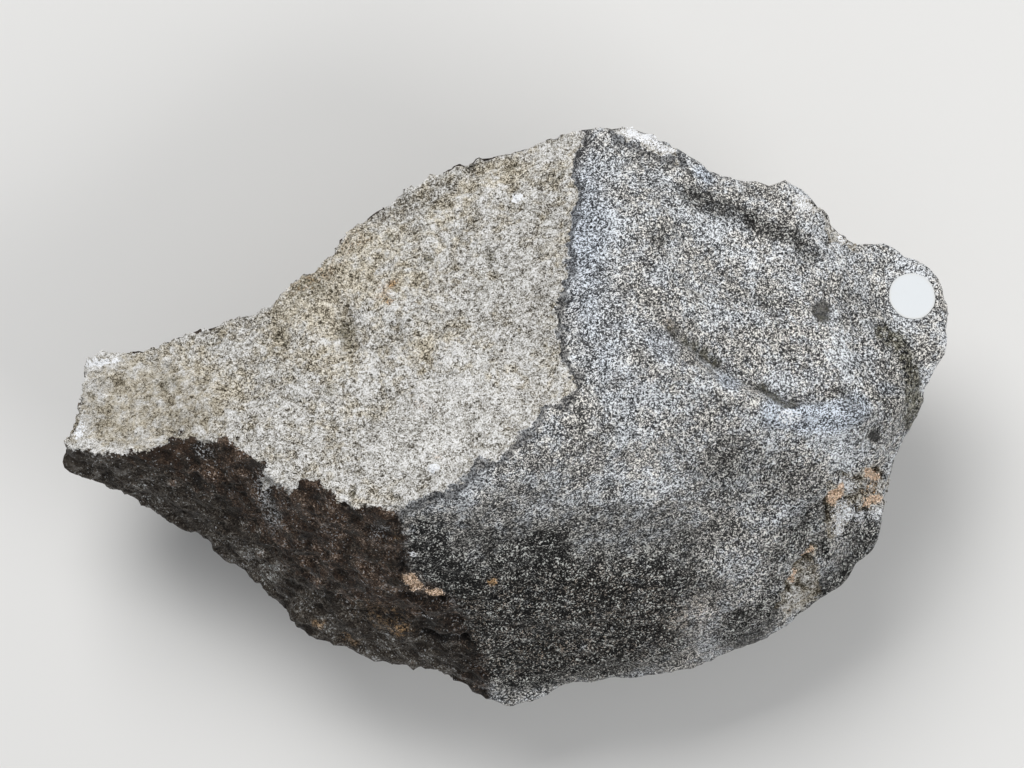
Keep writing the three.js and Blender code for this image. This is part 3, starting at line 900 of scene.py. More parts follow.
class StonePaint:
    """The stone's graph as it is written: its marks, its shared patterns and its colours."""

    def __init__(self, look: StoneFinish, graph: Graph, spot: Wire) -> None:
        """Makes the shared patterns, around 0 but for the beads' around 0.5, and reads the marks.

        Args:
            look: the colours and the shares of the patterns.
            graph: the material's graph.
            spot: the place on the surface, in mm.
        """
        self.look = look
        self.graph = graph
        self.spot = spot
        self.wobble = self.swing(look.wobbles) * 1.8
        self.clump = self.swing(look.clumps)
        self.patch = self.swing(look.patches)
        self.fine = self.swing(look.dust)
        self.hue = self.swing(look.hues)
        self.salt = self.drawn_beads()
        self.calm = (self.salt - 0.5) * 1.2 + self.fine * 0.8
        # The shade mark: real lighter and darker patches with painted shade and painted highlights; dusk is
        # where that shade is deep.
        self.shade = self.mark(Layer.TONE_AND_PAINTED_SHADE)
        self.dusk = (-self.shade).step(0.2, 1.8)
        self.melt = self.mark(Layer.SMOOTH).at_most(1.0)
        self.proud = self.mark(Layer.HOLLOW)
        self.value = self.bead_value()

    def noise(self, pattern: Pattern) -> Wire:
        """A pattern at the place on the surface, around 0.5."""
        return self.graph.noise(self.spot, pattern)

    def swing(self, pattern: Pattern) -> Wire:
        """A pattern at the place on the surface, around 0."""
        return self.noise(pattern) - 0.5

    def mark(self, layer: Layer) -> Wire:
        """The stone's own value for one layer of marks."""
        settings = {"attribute_type": "GEOMETRY", "attribute_name": layer.value}
        return self.graph.wire(self.graph.node("ShaderNodeAttribute", settings), "Fac")

    def ramp(self, value: Wire, stops: Stops) -> Wire:
        """A colour ramp read at a value."""
        node = self.graph.node("ShaderNodeValToRGB", {"stops": stops}, {"Fac": value})
        return self.graph.wire(node, "Color")

    def scaled(self, colour: Any, scale: Wire) -> Wire:
        """A colour made brighter or darker."""
        return self.graph.vector("SCALE", colour, scale=scale)

    def patchy(self, mark: Wire, pattern: Wire, soft: float) -> Wire:
        """A mark broken up by a pattern, so that its edge is ragged.

        Args:
            mark: the mark's strength.
            pattern: the noise that breaks it up, around 0.
            soft: how gradual the edge is.

        Returns:
            The share of the surface that the mark covers.
        """
        return (mark - 0.55 + pattern * 6.0).step(-soft, soft) * mark.held()

    def drawn_beads(self) -> Wire:
        """The crust's beads, which are drawn out into lines where the melt flowed."""
        turn = (0.0, 0.0, math.radians(self.look.flow_turn))
        inputs = {"Vector": self.spot, "Rotation": turn, "Scale": self.look.flow_stretch}
        slant = self.graph.node("ShaderNodeMapping", {"vector_type": "TEXTURE"}, inputs)
        even = self.noise(self.look.round_beads)
        drawn = self.graph.noise(self.graph.wire(slant), self.look.drawn_beads)
        return even + (drawn - even) * self.mark(Layer.FLOW).held() * 0.8

    def bead_value(self) -> Wire:
        """The crust's pattern, around 0: weaker where it is smooth and stronger in the painted shade,
        lighter on bumps and darker in hollows as painted shade; its bright beads and threads are partly
        painted glints.
        """
        share = self.look.beads
        thread = self.swing(self.look.threads).size().step(0.0, 0.05, 1.0, 0.0) - 0.38
        value = (self.salt - 0.5) * share.grain + self.fine * share.fine + thread * share.thread
        value = value + self.clump * share.clump + self.patch * share.patch + self.proud * share.proud
        return value * (1.05 - self.melt * 0.75) * (1.0 - self.shade.at_most(0.3) * 0.16)

    def crust(self, line: Wire) -> Wire:
        """Fusion crust: beads and threads over a dark skin, black in the painted shade but for sparse
        painted glints.

        Args:
            line: the share of the dark line along the crust's edge.

        Returns:
            The colour.
        """
        # Painted shade: the shade mark lowers the crust on its ramp, and where the shade is deep the mid and
        # dark beads go black.
        value = self.value * (1.0 - self.dusk * 0.20) + self.shade * 0.070 + self.look.beads.middle
        crust = self.graph.vector("MULTIPLY", self.ramp(value, CRUST_STOPS), self.crust_tint())
        gloom = 1.0 - self.dusk * 0.84 * self.value.step(0.05, 0.75, 1.0, 0.0)
        crust = self.scaled(crust, gloom * (-self.shade).step(1.2, 3.2, 1.0, 0.80))
        # Painted glints: sparse bright specks in the deep painted shade.
        glint = (self.noise(self.look.glints) + self.clump * 0.45).step(0.590, 0.700)
        crust = self.graph.blend(glint * self.dusk * (1.0 - self.melt.held()), crust, self.look.glint_white)
        return self.graph.blend(line * (0.85 - self.salt * 0.35), crust, self.look.line)

    def crust_tint(self) -> Wire:
        """The crust's tint: cool or warm, bluish under the painted sheen and in random patches, and umber
        where it is stained.
        """
        patch = self.patch - self.dusk * 0.12
        warmth = (self.hue * 2.0 - patch * 1.5).step(-0.25, 0.25)
        tint = self.graph.blend(warmth, self.look.cool, self.look.warm)
        # Painted bluish sheen from its marks, with random bluish patches from the noise.
        sheen_and_blue_tint = self.mark(Layer.BLUE) * 0.9 + patch * 0.8 + self.hue * 0.8
        tint = self.graph.blend(sheen_and_blue_tint.held(), tint, self.look.sheen_blue)
        soot = self.mark(Layer.OCHRE) * (0.45 + self.hue * 3.0)
        return self.graph.blend(soot.held(), tint, self.look.umber)

    def broken(self) -> Wire:
        """Broken stone: pale grains, dark gaps and hairlines between them, and ochre stains."""
        graph = self.graph
        share = self.look.grains
        # The shade mark and the hollows darken and lighten the broken face: painted shade and painted light.
        proud = self.proud + self.shade * 2.0
        grain = self.swing(self.look.grit)
        mottle = self.swing(self.look.mottles)
        hair = self.swing(self.look.hairlines).size().step(0.0, 0.045, 1.0, 0.0)
        hair = hair * self.noise(self.look.crowds).step(0.40, 0.60)
        value = (grain * share.grain + self.fine * share.fine) * (1.0 - self.melt * 0.5)
        value = value + self.clump * share.clump + mottle * share.patch + proud * share.proud
        colour = self.ramp(value + hair * share.thread + share.middle, BROKEN_STOPS)
        stain = self.mark(Layer.OCHRE) * 0.5 + 0.12
        low = stain - proud * 0.15 - self.clump * 2.2 - mottle * 1.8 - self.patch * 1.4
        tint = graph.blend(low.step(-0.1, 0.95), self.look.clean, self.look.ochre)
        return graph.vector("MULTIPLY", colour, tint)

    def flank(self) -> Wire:
        """Brown-stained crust: dark and greasy, mottled, darker in the painted shade, cooler under the
        painted sheen, with sparse painted glints.
        """
        graph = self.graph
        share = self.look.stains
        stain = self.swing(self.look.brown_clouds)
        value = (self.value + self.shade * 0.09) * share.grain + stain * share.patch + share.middle
        sheen_cool = self.mark(Layer.BLUE) * 0.6
        warmth = (self.hue * 2.0 + stain * 1.5 - sheen_cool).step(-0.35, 0.10)
        tint = graph.blend(warmth, self.look.moss, self.look.umber)
        # Painted glints.
        spark = (self.noise(self.look.sparks) + stain * 0.5).step(0.66, 0.72)
        colour = graph.vector("MULTIPLY", self.ramp(value, BROWN_STOPS), tint)
        return graph.blend(spark * 0.32, colour, self.look.white)

    def stained(self, dressed: Wire) -> Wire:
        """Adds olive darkening, white grains with painted glints, white fragments, tan earth and rust.

        Args:
            dressed: the colour under them.

        Returns:
            The colour.
        """
        graph = self.graph
        smear = self.swing(self.look.smears)
        olive_cover = self.patchy(self.mark(Layer.OLIVE) + self.patch * 0.6, smear, 0.35)
        dressed = graph.blend(olive_cover * 0.7, dressed, self.scaled(self.look.olive[:3], 0.7 + self.value * 2.0))

        white = self.mark(Layer.WHITE)
        specks = self.swing(self.look.white_specks) * 6.0
        # Painted glints and highlights, with a few real white grains.
        white_grains_and_glints = (white - 0.60 + specks).step(-0.15, 0.15) * (white * 2.5).held()
        dressed = graph.blend(white_grains_and_glints, dressed, self.look.white)
        crumb = (self.mark(Layer.FRAGMENT) + self.wobble * 1.2 + self.fine * 4.0).step(-0.25, 0.25)
        crumb = crumb * (0.70 + self.calm * 3.6 + self.clump * 3.0).held()
        dressed = graph.blend(crumb, dressed, self.look.white)

        earth = (self.mark(Layer.TAN) + self.wobble * 0.5 + self.fine * 1.2).step(-0.12, 0.12)
        clay = graph.blend((0.03 + self.calm * 1.4).held(), self.look.tan, self.look.white)
        clay = self.scaled(clay, 0.84 + self.calm * 2.0)
        dressed = graph.blend(earth * (0.78 + self.calm * 2.4).held(), dressed, clay)

        rusty = self.patchy(self.mark(Layer.RUST), self.swing(self.look.rust_rags), 0.55)
        return graph.blend(rusty * 0.80, dressed, self.scaled(self.look.rust[:3], 0.70 + self.value * 3.0))

    def surface(self) -> None:
        """Joins the three colours at their ragged borders and closes the material."""
        look = self.look
        pale = (self.mark(Layer.PALE) + self.wobble).step(-0.10, 0.10)
        brown = (self.mark(Layer.BROWN) - self.wobble * 1.6).step(-1.3, 1.3)
        lip = self.mark(Layer.LIP) + self.wobble
        line = (lip + 0.62 + self.clump * 1.5).size().step(0.30, 1.05, 1.0, 0.0) * (1.0 - brown)
        dressed = self.graph.blend(brown, self.crust(line), self.flank())
        dressed = self.graph.blend(pale, dressed, self.broken())
        # Painted shade and light: the shade mark darkens and lightens every colour.
        dressed = self.stained(self.scaled(dressed, 2.0 ** (self.shade * look.tone_and_shade_step)))

        skin = look.crust_rough - self.value * 0.5 - self.melt * 0.10
        skin = skin + (look.broken_rough - skin) * pale
        rough = skin + (look.brown_rough - skin) * (brown * (1.0 - pale))
        height = self.salt * (0.30 - pale * 0.05) + self.fine * 0.10 + self.clump * 0.30 - line * 0.10
        values = {"Base Color": dressed, "Roughness": rough, "Specular IOR Level": look.gloss}
        close_material(self.graph, values, height)


@dataclass(frozen=True)
class PaperFinish:
    """White label paper, slightly fibrous and a little soiled at its cut edge."""

    clean: Colour = (0.690, 0.712, 0.726, 1.0)
    soiled: Colour = (0.62, 0.60, 0.55, 1.0)
    rough: float = 0.78
    fibre_height: float = 0.03
    bump: float = 0.4
    fibres: Pattern = Pattern(2.6, 3.0, 0.7, bend=1.5)
    clouds: Pattern = Pattern(0.5, 2.0, 0.5)

    def build(self) -> bpy.types.Material:
        """Writes the material.

        Returns:
            The material.
        """
        material, graph, spot = open_material("label_paper")
        rim = graph.wire(graph.node("ShaderNodeAttribute", {"attribute_name": "rim"}), "Fac")
        fibres = graph.noise(spot, self.fibres)
        clouds = graph.noise(spot, self.clouds)
        soil = rim.step(0.86, 1.0) * 0.35 + fibres.step(0.60, 0.85) * 0.08 + clouds.step(0.55, 0.8) * 0.10
        colour = graph.blend(soil, self.clean, self.soiled)
        values = {"Base Color": colour, "Roughness": self.rough + fibres * 0.1}
        close_material(graph, values, fibres * self.fibre_height, self.bump)
        return material


@dataclass(frozen=True)
class FloorFinish:
    """A plain pale tabletop."""

    colour: Colour = (0.74, 0.73, 0.71, 1.0)
    clouded: Colour = (0.62, 0.61, 0.60, 1.0)
    rough: float = 0.85
    clouds: Pattern = Pattern(0.01, 2.0, 0.5)

    def build(self) -> bpy.types.Material:
        """Writes the material.

        Returns:
            The material.
        """
        material, graph, spot = open_material("pale_floor")
        colour = graph.blend(graph.noise(spot, self.clouds) * 0.06, self.colour, self.clouded)
        close_material(graph, {"Base Color": colour, "Roughness": self.rough})
        return material


# -------------------------------------------------------------------------------- mesh helpers


def mesh_points(mesh: bpy.types.Mesh) -> np.ndarray:
    """The mesh's vertices in mm, one a row."""
    flat = np.zeros(len(mesh.vertices) * 3, np.float32)
    mesh.vertices.foreach_get("co", flat)
    return flat.reshape(-1, 3).astype(float) / MM


def set_points(mesh: bpy.types.Mesh, spots: np.ndarray) -> None:
    """Moves the mesh's vertices to points given in mm."""
    mesh.vertices.foreach_set("co", (spots * MM).astype(np.float32).ravel())
    mesh.update()


def mesh_normals(mesh: bpy.types.Mesh) -> np.ndarray:
    """The mesh's vertex normals, one a row."""
    flat = np.zeros(len(mesh.vertices) * 3, np.float32)
    mesh.vertex_normals.foreach_get("vector", flat)
    return flat.reshape(-1, 3).astype(float)


def store(mesh: bpy.types.Mesh, name: str, values: np.ndarray) -> None:
    """Writes one number a vertex as an attribute.

    Args:
        mesh: the mesh.
        name: the attribute's name.
        values: a number for each vertex.
    """
    attribute = mesh.attributes.get(name) or mesh.attributes.new(name, "FLOAT", "POINT")
    attribute.data.foreach_set("value", values.astype(np.float32))


def neighbour_mean(mesh: bpy.types.Mesh, values: np.ndarray, rounds: int) -> np.ndarray:
    """Spreads values over the mesh by taking neighbours' means again and again.

    Args:
        mesh: the mesh.
        values: a row of numbers for each vertex.
        rounds: how many times it is done.

    Returns:
        The spread values.
    """
    pairs = np.zeros(len(mesh.edges) * 2, np.int32)
    mesh.edges.foreach_get("vertices", pairs)
    first, second = pairs.reshape(-1, 2).T
    count = len(mesh.vertices)
    share = np.bincount(first, minlength=count) + np.bincount(second, minlength=count)
    spread = values.astype(float)
    for _ in range(rounds):
        total = np.zeros_like(spread)
        for column in range(spread.shape[1]):
            total[:, column] = np.bincount(first, spread[second, column], count)
            total[:, column] += np.bincount(second, spread[first, column], count)
        spread = 0.5 * spread + 0.5 * total / np.maximum(share, 1)[:, None]
    return spread


def new_object(name: str, mesh: bpy.types.Mesh) -> bpy.types.Object:
    """Puts a mesh into the scene at the origin.

    Args:
        name: the object's name.
        mesh: its mesh.

    Returns:
        The object.
    """
    made = bpy.data.objects.new(name, mesh)
    bpy.context.scene.collection.objects.link(made)
    return made


def baked(made: bpy.types.Object) -> bpy.types.Mesh:
    """The object's mesh as its modifiers leave it, which are then removed.

    Args:
        made: the object, which takes the mesh.

    Returns:
        The new mesh.
    """
    bpy.context.view_layer.update()
    graph = bpy.context.evaluated_depsgraph_get()
    mesh = bpy.data.meshes.new_from_object(
        made.evaluated_get(graph), preserve_all_data_layers=True, depsgraph=graph
    )
    made.modifiers.clear()
    made.data = mesh
    return mesh


class GeometryTree:
    """A Geometry Nodes tree with named inputs, which runs on an object as a modifier."""

    def __init__(self, name: str, numbers: dict[str, float], seed: int) -> None:
        """Makes the tree with its geometry input, its numbers and its seed.

        Args:
            name: the tree's name.
            numbers: the tree's named sizes.
            seed: the pattern's seed.
        """
        self.tree = bpy.data.node_groups.new(name, "GeometryNodeTree")
        self.tree.is_modifier = True
        self.graph = Graph(self.tree)
        self.values: dict[str, float | int] = {**numbers, "Seed": seed}
        face = self.tree.interface
        face.new_socket("Geometry", in_out="OUTPUT", socket_type="NodeSocketGeometry")
        face.new_socket("Geometry", in_out="INPUT", socket_type="NodeSocketGeometry")
        self.keys = {}
        for label in self.values:
            kind = "NodeSocketInt" if label == "Seed" else "NodeSocketFloat"
            self.keys[label] = face.new_socket(label, in_out="INPUT", socket_type=kind).identifier
        self.start = self.graph.node("NodeGroupInput")

    def number(self, label: str) -> Wire:
        """The named input as a wire."""
        return self.graph.wire(self.start, label)

    def attribute(self, layer: Layer) -> Wire:
        """A layer of marks, read off the mesh."""
        settings = {"data_type": "FLOAT"}
        node = self.graph.node("GeometryNodeInputNamedAttribute", settings, {"Name": layer.value})
        return self.graph.wire(node, "Attribute")

    def end(self, geometry: Any, material: bpy.types.Material) -> None:
        """Realizes the instances, sets the material and closes the tree.

        Args:
            geometry: the geometry to give out.
            material: what it is finished in.
        """
        real = self.graph.node("GeometryNodeRealizeInstances", {}, {"Geometry": geometry})
        painted = self.graph.node(
            "GeometryNodeSetMaterial", {}, {"Geometry": real.outputs[0], "Material": material}
        )
        self.graph.node("NodeGroupOutput", {}, {0: painted.outputs[0]})

    def run(self, made: bpy.types.Object) -> bpy.types.Mesh:
        """Runs the tree on an object.

        Args:
            made: the object, which takes the result.

        Returns:
            The result's mesh.
        """
        modifier = made.modifiers.new(self.tree.name, "NODES")
        modifier.node_group = self.tree
        for label, value in self.values.items():
            modifier[self.keys[label]] = value
        return baked(made)


# -------------------------------------------------------------------------------- the stone


@dataclass
class Stone:
    """The stone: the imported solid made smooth, marked, roughened and finished."""

    node: str = "meteorite"
    name: str = "meteorite_stone"
    eye: Eye = field(default_factory=Eye)
    weld: float = 0.01
    levels: int = 2
    fit_rounds: int = 3
    relief: dict[str, float] = field(
        default_factory=lambda: {
            "Broken swell": 4.2,
            "Broken folds": 6.0,
            "Broken grain": 2.2,
            "Broken shards": 0.28,
            "Crust swell": 1.8,
            "Crust knobs": 1.9,
            "Crust grain": 1.2,
            "Brown folds": 3.4,
            "Brown knobs": 1.6,
            "Crust thickness": 0.45,
            "Border": 6.0,
        }
    )
    seed: int = 4
    seat: tuple[float, float, float] = (68.6, 20.9, 42.2)
    seat_reach: float = 5.2
    seat_fade: float = 2.0
    floor_fade: float = 2.5
    normal_rounds: int = 6
    seen_from: Pair = (-0.02, 0.12)
    turn_reach: float = 14.0
    broken_wrap: float = 0.32
    exposure_wrap: float = 0.15
    chip_facing: float = 0.35
    chip_reach: float = 10.0
    unmarked: float = -20.0
    brown_end: float = -5.0
    brown_waves: tuple[tuple[float, ...], ...] = ((4.0, 0.15, 0.0, 1.0), (2.2, 0.43, 0.20, 0.0))
    hidden_shade: float = 0.8
    hidden_from: Pair = (0.05, -0.35)
    front_shade: float = 1.1
    front_from: Pair = (10.0, -20.0)
    flake_height: float = 0.6
    warp_scale: float = 0.25
    warp_reach: float = 2.4
    border: Pattern = Pattern(0.38, 4.0, 0.66)
    swells: Pattern = Pattern(0.10, 3.0, 0.55)
    knobs: Pattern = Pattern(0.28, 2.0, 0.55)
    folds: Pattern = Pattern(0.32, 3.0, 0.60)
    grain: Pattern = Pattern(0.62, 3.0, 0.65)
    shard_scale: float = 0.60
    sink: float = 0.12
    near_rounds: int = 4
    wide_rounds: int = 24
    proud_scale: float = 0.6
    proud_limit: float = 1.3

    def build(self, finish: bpy.types.Material) -> bpy.types.Object:
        """Makes the piece.

        Args:
            finish: the stone's material.

        Returns:
            The object.
        """
        mesh = self.smooth_body()
        made = new_object(self.name, mesh)
        self.mark(mesh)
        mesh = self.relief_tree(finish).run(made)
        spots = mesh_points(mesh)
        spots[:, 2] = np.maximum(spots[:, 2], 0.0)
        set_points(mesh, spots)
        self.mark_hollows(mesh)
        mesh.polygons.foreach_set("use_smooth", np.ones(len(mesh.polygons), bool))
        mesh.name = self.name
        return made

    def merged_copy(self) -> bpy.types.Mesh:
        """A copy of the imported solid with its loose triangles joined.

        Returns:
            The copy.
        """
        work = bmesh.new()
        work.from_mesh(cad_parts[self.node].data)
        bmesh.ops.remove_doubles(work, verts=work.verts, dist=self.weld * MM)
        mesh = bpy.data.meshes.new("smooth_body")
        work.to_mesh(mesh)
        work.free()
        return mesh

    def smooth_body(self) -> bpy.types.Mesh:
        """Subdivides the copy so that the smooth surface still passes through the solid's own corners.

        Returns:
            The smooth mesh.
        """
        cage = self.merged_copy()
        corners = mesh_points(cage)
        pushed = corners.copy()
        work = new_object("smoothing", cage)
        for _ in range(self.fit_rounds):
            smooth = self.subdivided(work)
            pushed += corners - mesh_points(smooth)[: len(corners)]
            set_points(cage, pushed)
        mesh = self.subdivided(work)
        bpy.data.objects.remove(work)
        return mesh

    def subdivided(self, work: bpy.types.Object) -> bpy.types.Mesh:
        """The object's mesh after subdivision; the object keeps its own."""
        modifier = work.modifiers.new("smooth", "SUBSURF")
        modifier.levels = modifier.render_levels = self.levels
        modifier.quality = 4
        bpy.context.view_layer.update()
        graph = bpy.context.evaluated_depsgraph_get()
        mesh = bpy.data.meshes.new_from_object(work.evaluated_get(graph))
        work.modifiers.clear()
        return mesh

    def mark(self, mesh: bpy.types.Mesh) -> None:
        """Stores every layer of marks on the mesh.

        Args:
            mesh: the smooth mesh.
        """
        spots = mesh_points(mesh)
        normals = neighbour_mean(mesh, mesh_normals(mesh), self.normal_rounds)
        normals /= np.linalg.norm(normals, axis=1, keepdims=True)
        plan = self.eye.plan(spots)
        facing = self.eye.facing(spots, normals)
        seen = smooth_step(*self.seen_from, facing)
        self.mark_zones(mesh, spots, plan, facing)
        for layer, marks in MARKS.items():
            total = sum(drawn.weight(plan) for drawn in marks) * seen
            if layer is Layer.TONE_AND_PAINTED_SHADE:
                # Darker on the hidden sides, and darker still on the hidden front, which carries the painted
                # shade of the low crust round the stone.
                front = smooth_step(*self.front_from, spots[:, 1])
                total -= self.hidden_shade * smooth_step(*self.hidden_from, facing)
                total -= self.front_shade * (1.0 - seen) * front
            if layer is Layer.CARVE:
                total += self.flake(plan) * seen
                total += self.thumb_marks(spots, facing)
            store(mesh, layer.value, total)
        seat_gap = np.linalg.norm(spots - np.array(self.seat), axis=1)
        calm = smooth_step(self.seat_reach - self.seat_fade, self.seat_reach + self.seat_fade, seat_gap)
        calm *= smooth_step(0.1, self.floor_fade, spots[:, 2])
        store(mesh, Layer.CALM.value, calm)

    def mark_zones(
        self, mesh: bpy.types.Mesh, spots: np.ndarray, plan: np.ndarray, facing: np.ndarray
    ) -> None:
        """Stores how far inside the broken, brown, tan and crumbled zones each point lies, in mm.

        Args:
            mesh: the smooth mesh.
            spots: its points, in mm.
            plan: where they fall on the drawing level, in mm.
            facing: how squarely each faces the eye.
        """
        pale = self.turned(outline_distance(plan, BROKEN_OUTLINE), facing, self.broken_wrap)
        store(mesh, Layer.LIP.value, np.maximum(pale, outline_distance(plan, EXPOSURES[0])))
        for outline in EXPOSURES:
            gap = self.turned(outline_distance(plan, outline), facing, self.exposure_wrap)
            pale = np.maximum(pale, gap)
        for chip in BACK_CHIPS:
            hidden = (self.chip_facing - facing) * self.chip_reach
            pale = np.maximum(pale, np.minimum(chip.gap(spots), hidden))
        store(mesh, Layer.PALE.value, pale)
        for layer, patches in ((Layer.TAN, TAN_PATCHES), (Layer.FRAGMENT, FRAGMENTS)):
            gaps = [self.turned(outline_distance(plan, outline), facing) for outline in patches]
            store(mesh, layer.value, np.maximum(np.max(gaps, axis=0), self.unmarked))

        wander = sum(
            reach * np.sin(spots[:, 2] * rise + spots[:, 1] * run + start)
            for reach, rise, run, start in self.brown_waves
        )
        hidden = np.minimum(wander - spots[:, 0] + self.brown_end, 1.0 - facing * self.turn_reach)
        store(mesh, Layer.BROWN.value, np.maximum(outline_distance(plan, BROWN_OUTLINE), hidden))

    def turned(self, gap: np.ndarray, facing: np.ndarray, wrap: float = 0.0) -> np.ndarray:
        """An edge distance that also ends where the surface turns away from the eye.

        Args:
            gap: the distances inside the drawn outline, in mm.
            facing: how squarely each point faces the eye.
            wrap: how far past the stone's own outline the zone goes on, in units of facing.

        Returns:
            The distances, in mm.
        """
        return np.minimum(gap, (facing + wrap) * self.turn_reach)

    def flake(self, plan: np.ndarray) -> np.ndarray:
        """How far the thin flake on the tail stands up, in mm."""
        return self.flake_height * smooth_step(-0.2, 0.25, outline_distance(plan, TAIL_FLAKE))

    def thumb_marks(self, spots: np.ndarray, facing: np.ndarray) -> np.ndarray:
        """How deep the melted thumb marks of the hidden side are.

        Args:
            spots: the points, in mm.
            facing: how squarely each faces the eye.

        Returns:
            The depths in mm, less than 0.
        """
        depth = np.zeros(len(spots))
        for mark in THUMB_MARKS:
            depth += mark.strength * smooth_step(0.0, mark.reach, mark.gap(spots))
        return depth * smooth_step(0.25, -0.10, facing)

    def relief_tree(self, finish: bpy.types.Material) -> GeometryTree:
        """The tree that roughens the surface along its normals.

        Args:
            finish: the stone's material.

        Returns:
            The tree.
        """
        made = GeometryTree("stone_relief", self.relief, self.seed)
        graph = made.graph
        place = graph.wire(graph.node("GeometryNodeInputPosition"))
        normal = graph.wire(graph.node("GeometryNodeInputNormal"))
        spot = graph.vector("SCALE", place, scale=1.0 / MM)
        seed = made.number("Seed")
        inputs = {"Vector": spot, "W": seed, "Scale": self.warp_scale}
        warp = graph.node("ShaderNodeTexNoise", {"noise_dimensions": "4D"}, inputs)
        bend = graph.vector("SCALE", graph.wire(warp, "Color"), scale=self.warp_reach)
        warped = graph.vector("ADD", spot, bend)

        edge = (graph.noise(spot, self.border) - 0.5) * made.number("Border")
        gap = made.attribute(Layer.PALE) + edge
        lip = made.attribute(Layer.LIP) + edge
        stain = made.attribute(Layer.BROWN) - edge + 1.2
        pale = gap.step(-0.45, 0.35)
        brown = stain.step(-2.0, 2.0) * (1.0 - pale)

        swell = graph.noise(warped, self.swells, seed) - 0.5
        knobs = graph.noise(warped, self.knobs, seed) - 0.5
        folds = (graph.noise(warped, self.folds, seed + 3.0) - 0.5).size() - 0.06
        grain = graph.noise(warped, self.grain, seed) - 0.5
        inputs = {"Vector": warped, "Scale": self.shard_scale}
        cells = graph.node("ShaderNodeTexVoronoi", {"feature": "F1"}, inputs)
        shard = graph.wire(cells, "Distance") - 0.5

        broken = swell * made.number("Broken swell") + folds * made.number("Broken folds")
        broken = broken + grain * made.number("Broken grain") - shard * made.number("Broken shards")
        skin = swell * made.number("Crust swell") + knobs * made.number("Crust knobs")
        skin = skin + grain * made.number("Crust grain") + made.number("Crust thickness")
        flank = folds * made.number("Brown folds") + knobs * made.number("Brown knobs")
        height = broken * pale + skin * (1.0 - pale) + flank * brown
        height = (height - self.sink + made.attribute(Layer.CARVE)) * made.attribute(Layer.CALM)
        shift = graph.vector("SCALE", normal, scale=height * MM)
        geometry = made.start.outputs["Geometry"]
        for layer, values in ((Layer.PALE, gap), (Layer.LIP, lip), (Layer.BROWN, stain)):
            kept = {"Geometry": geometry, "Name": layer.value, "Value": values}
            settings = {"data_type": "FLOAT", "domain": "POINT"}
            geometry = graph.node("GeometryNodeStoreNamedAttribute", settings, kept).outputs[0]
        moved = graph.node("GeometryNodeSetPosition", {}, {"Geometry": geometry, "Offset": shift})
        made.end(moved.outputs[0], finish)
        return made

    def mark_hollows(self, mesh: bpy.types.Mesh) -> None:
        """Stores how far each point stands out of the surface round it, from about -1 to 1.

        Args:
            mesh: the finished mesh.
        """
        spots = mesh_points(mesh)
        normals = mesh_normals(mesh)
        near = ((spots - neighbour_mean(mesh, spots, self.near_rounds)) * normals).sum(1)
        wide = ((spots - neighbour_mean(mesh, spots, self.wide_rounds)) * normals).sum(1)
        proud = near / max(near.std(), 1e-6) * 0.5 + wide / max(wide.std(), 1e-6) * 0.5
        proud = np.clip(proud * self.proud_scale, -self.proud_limit, self.proud_limit)
        store(mesh, Layer.HOLLOW.value, proud)


# -------------------------------------------------------------------------------- the grains


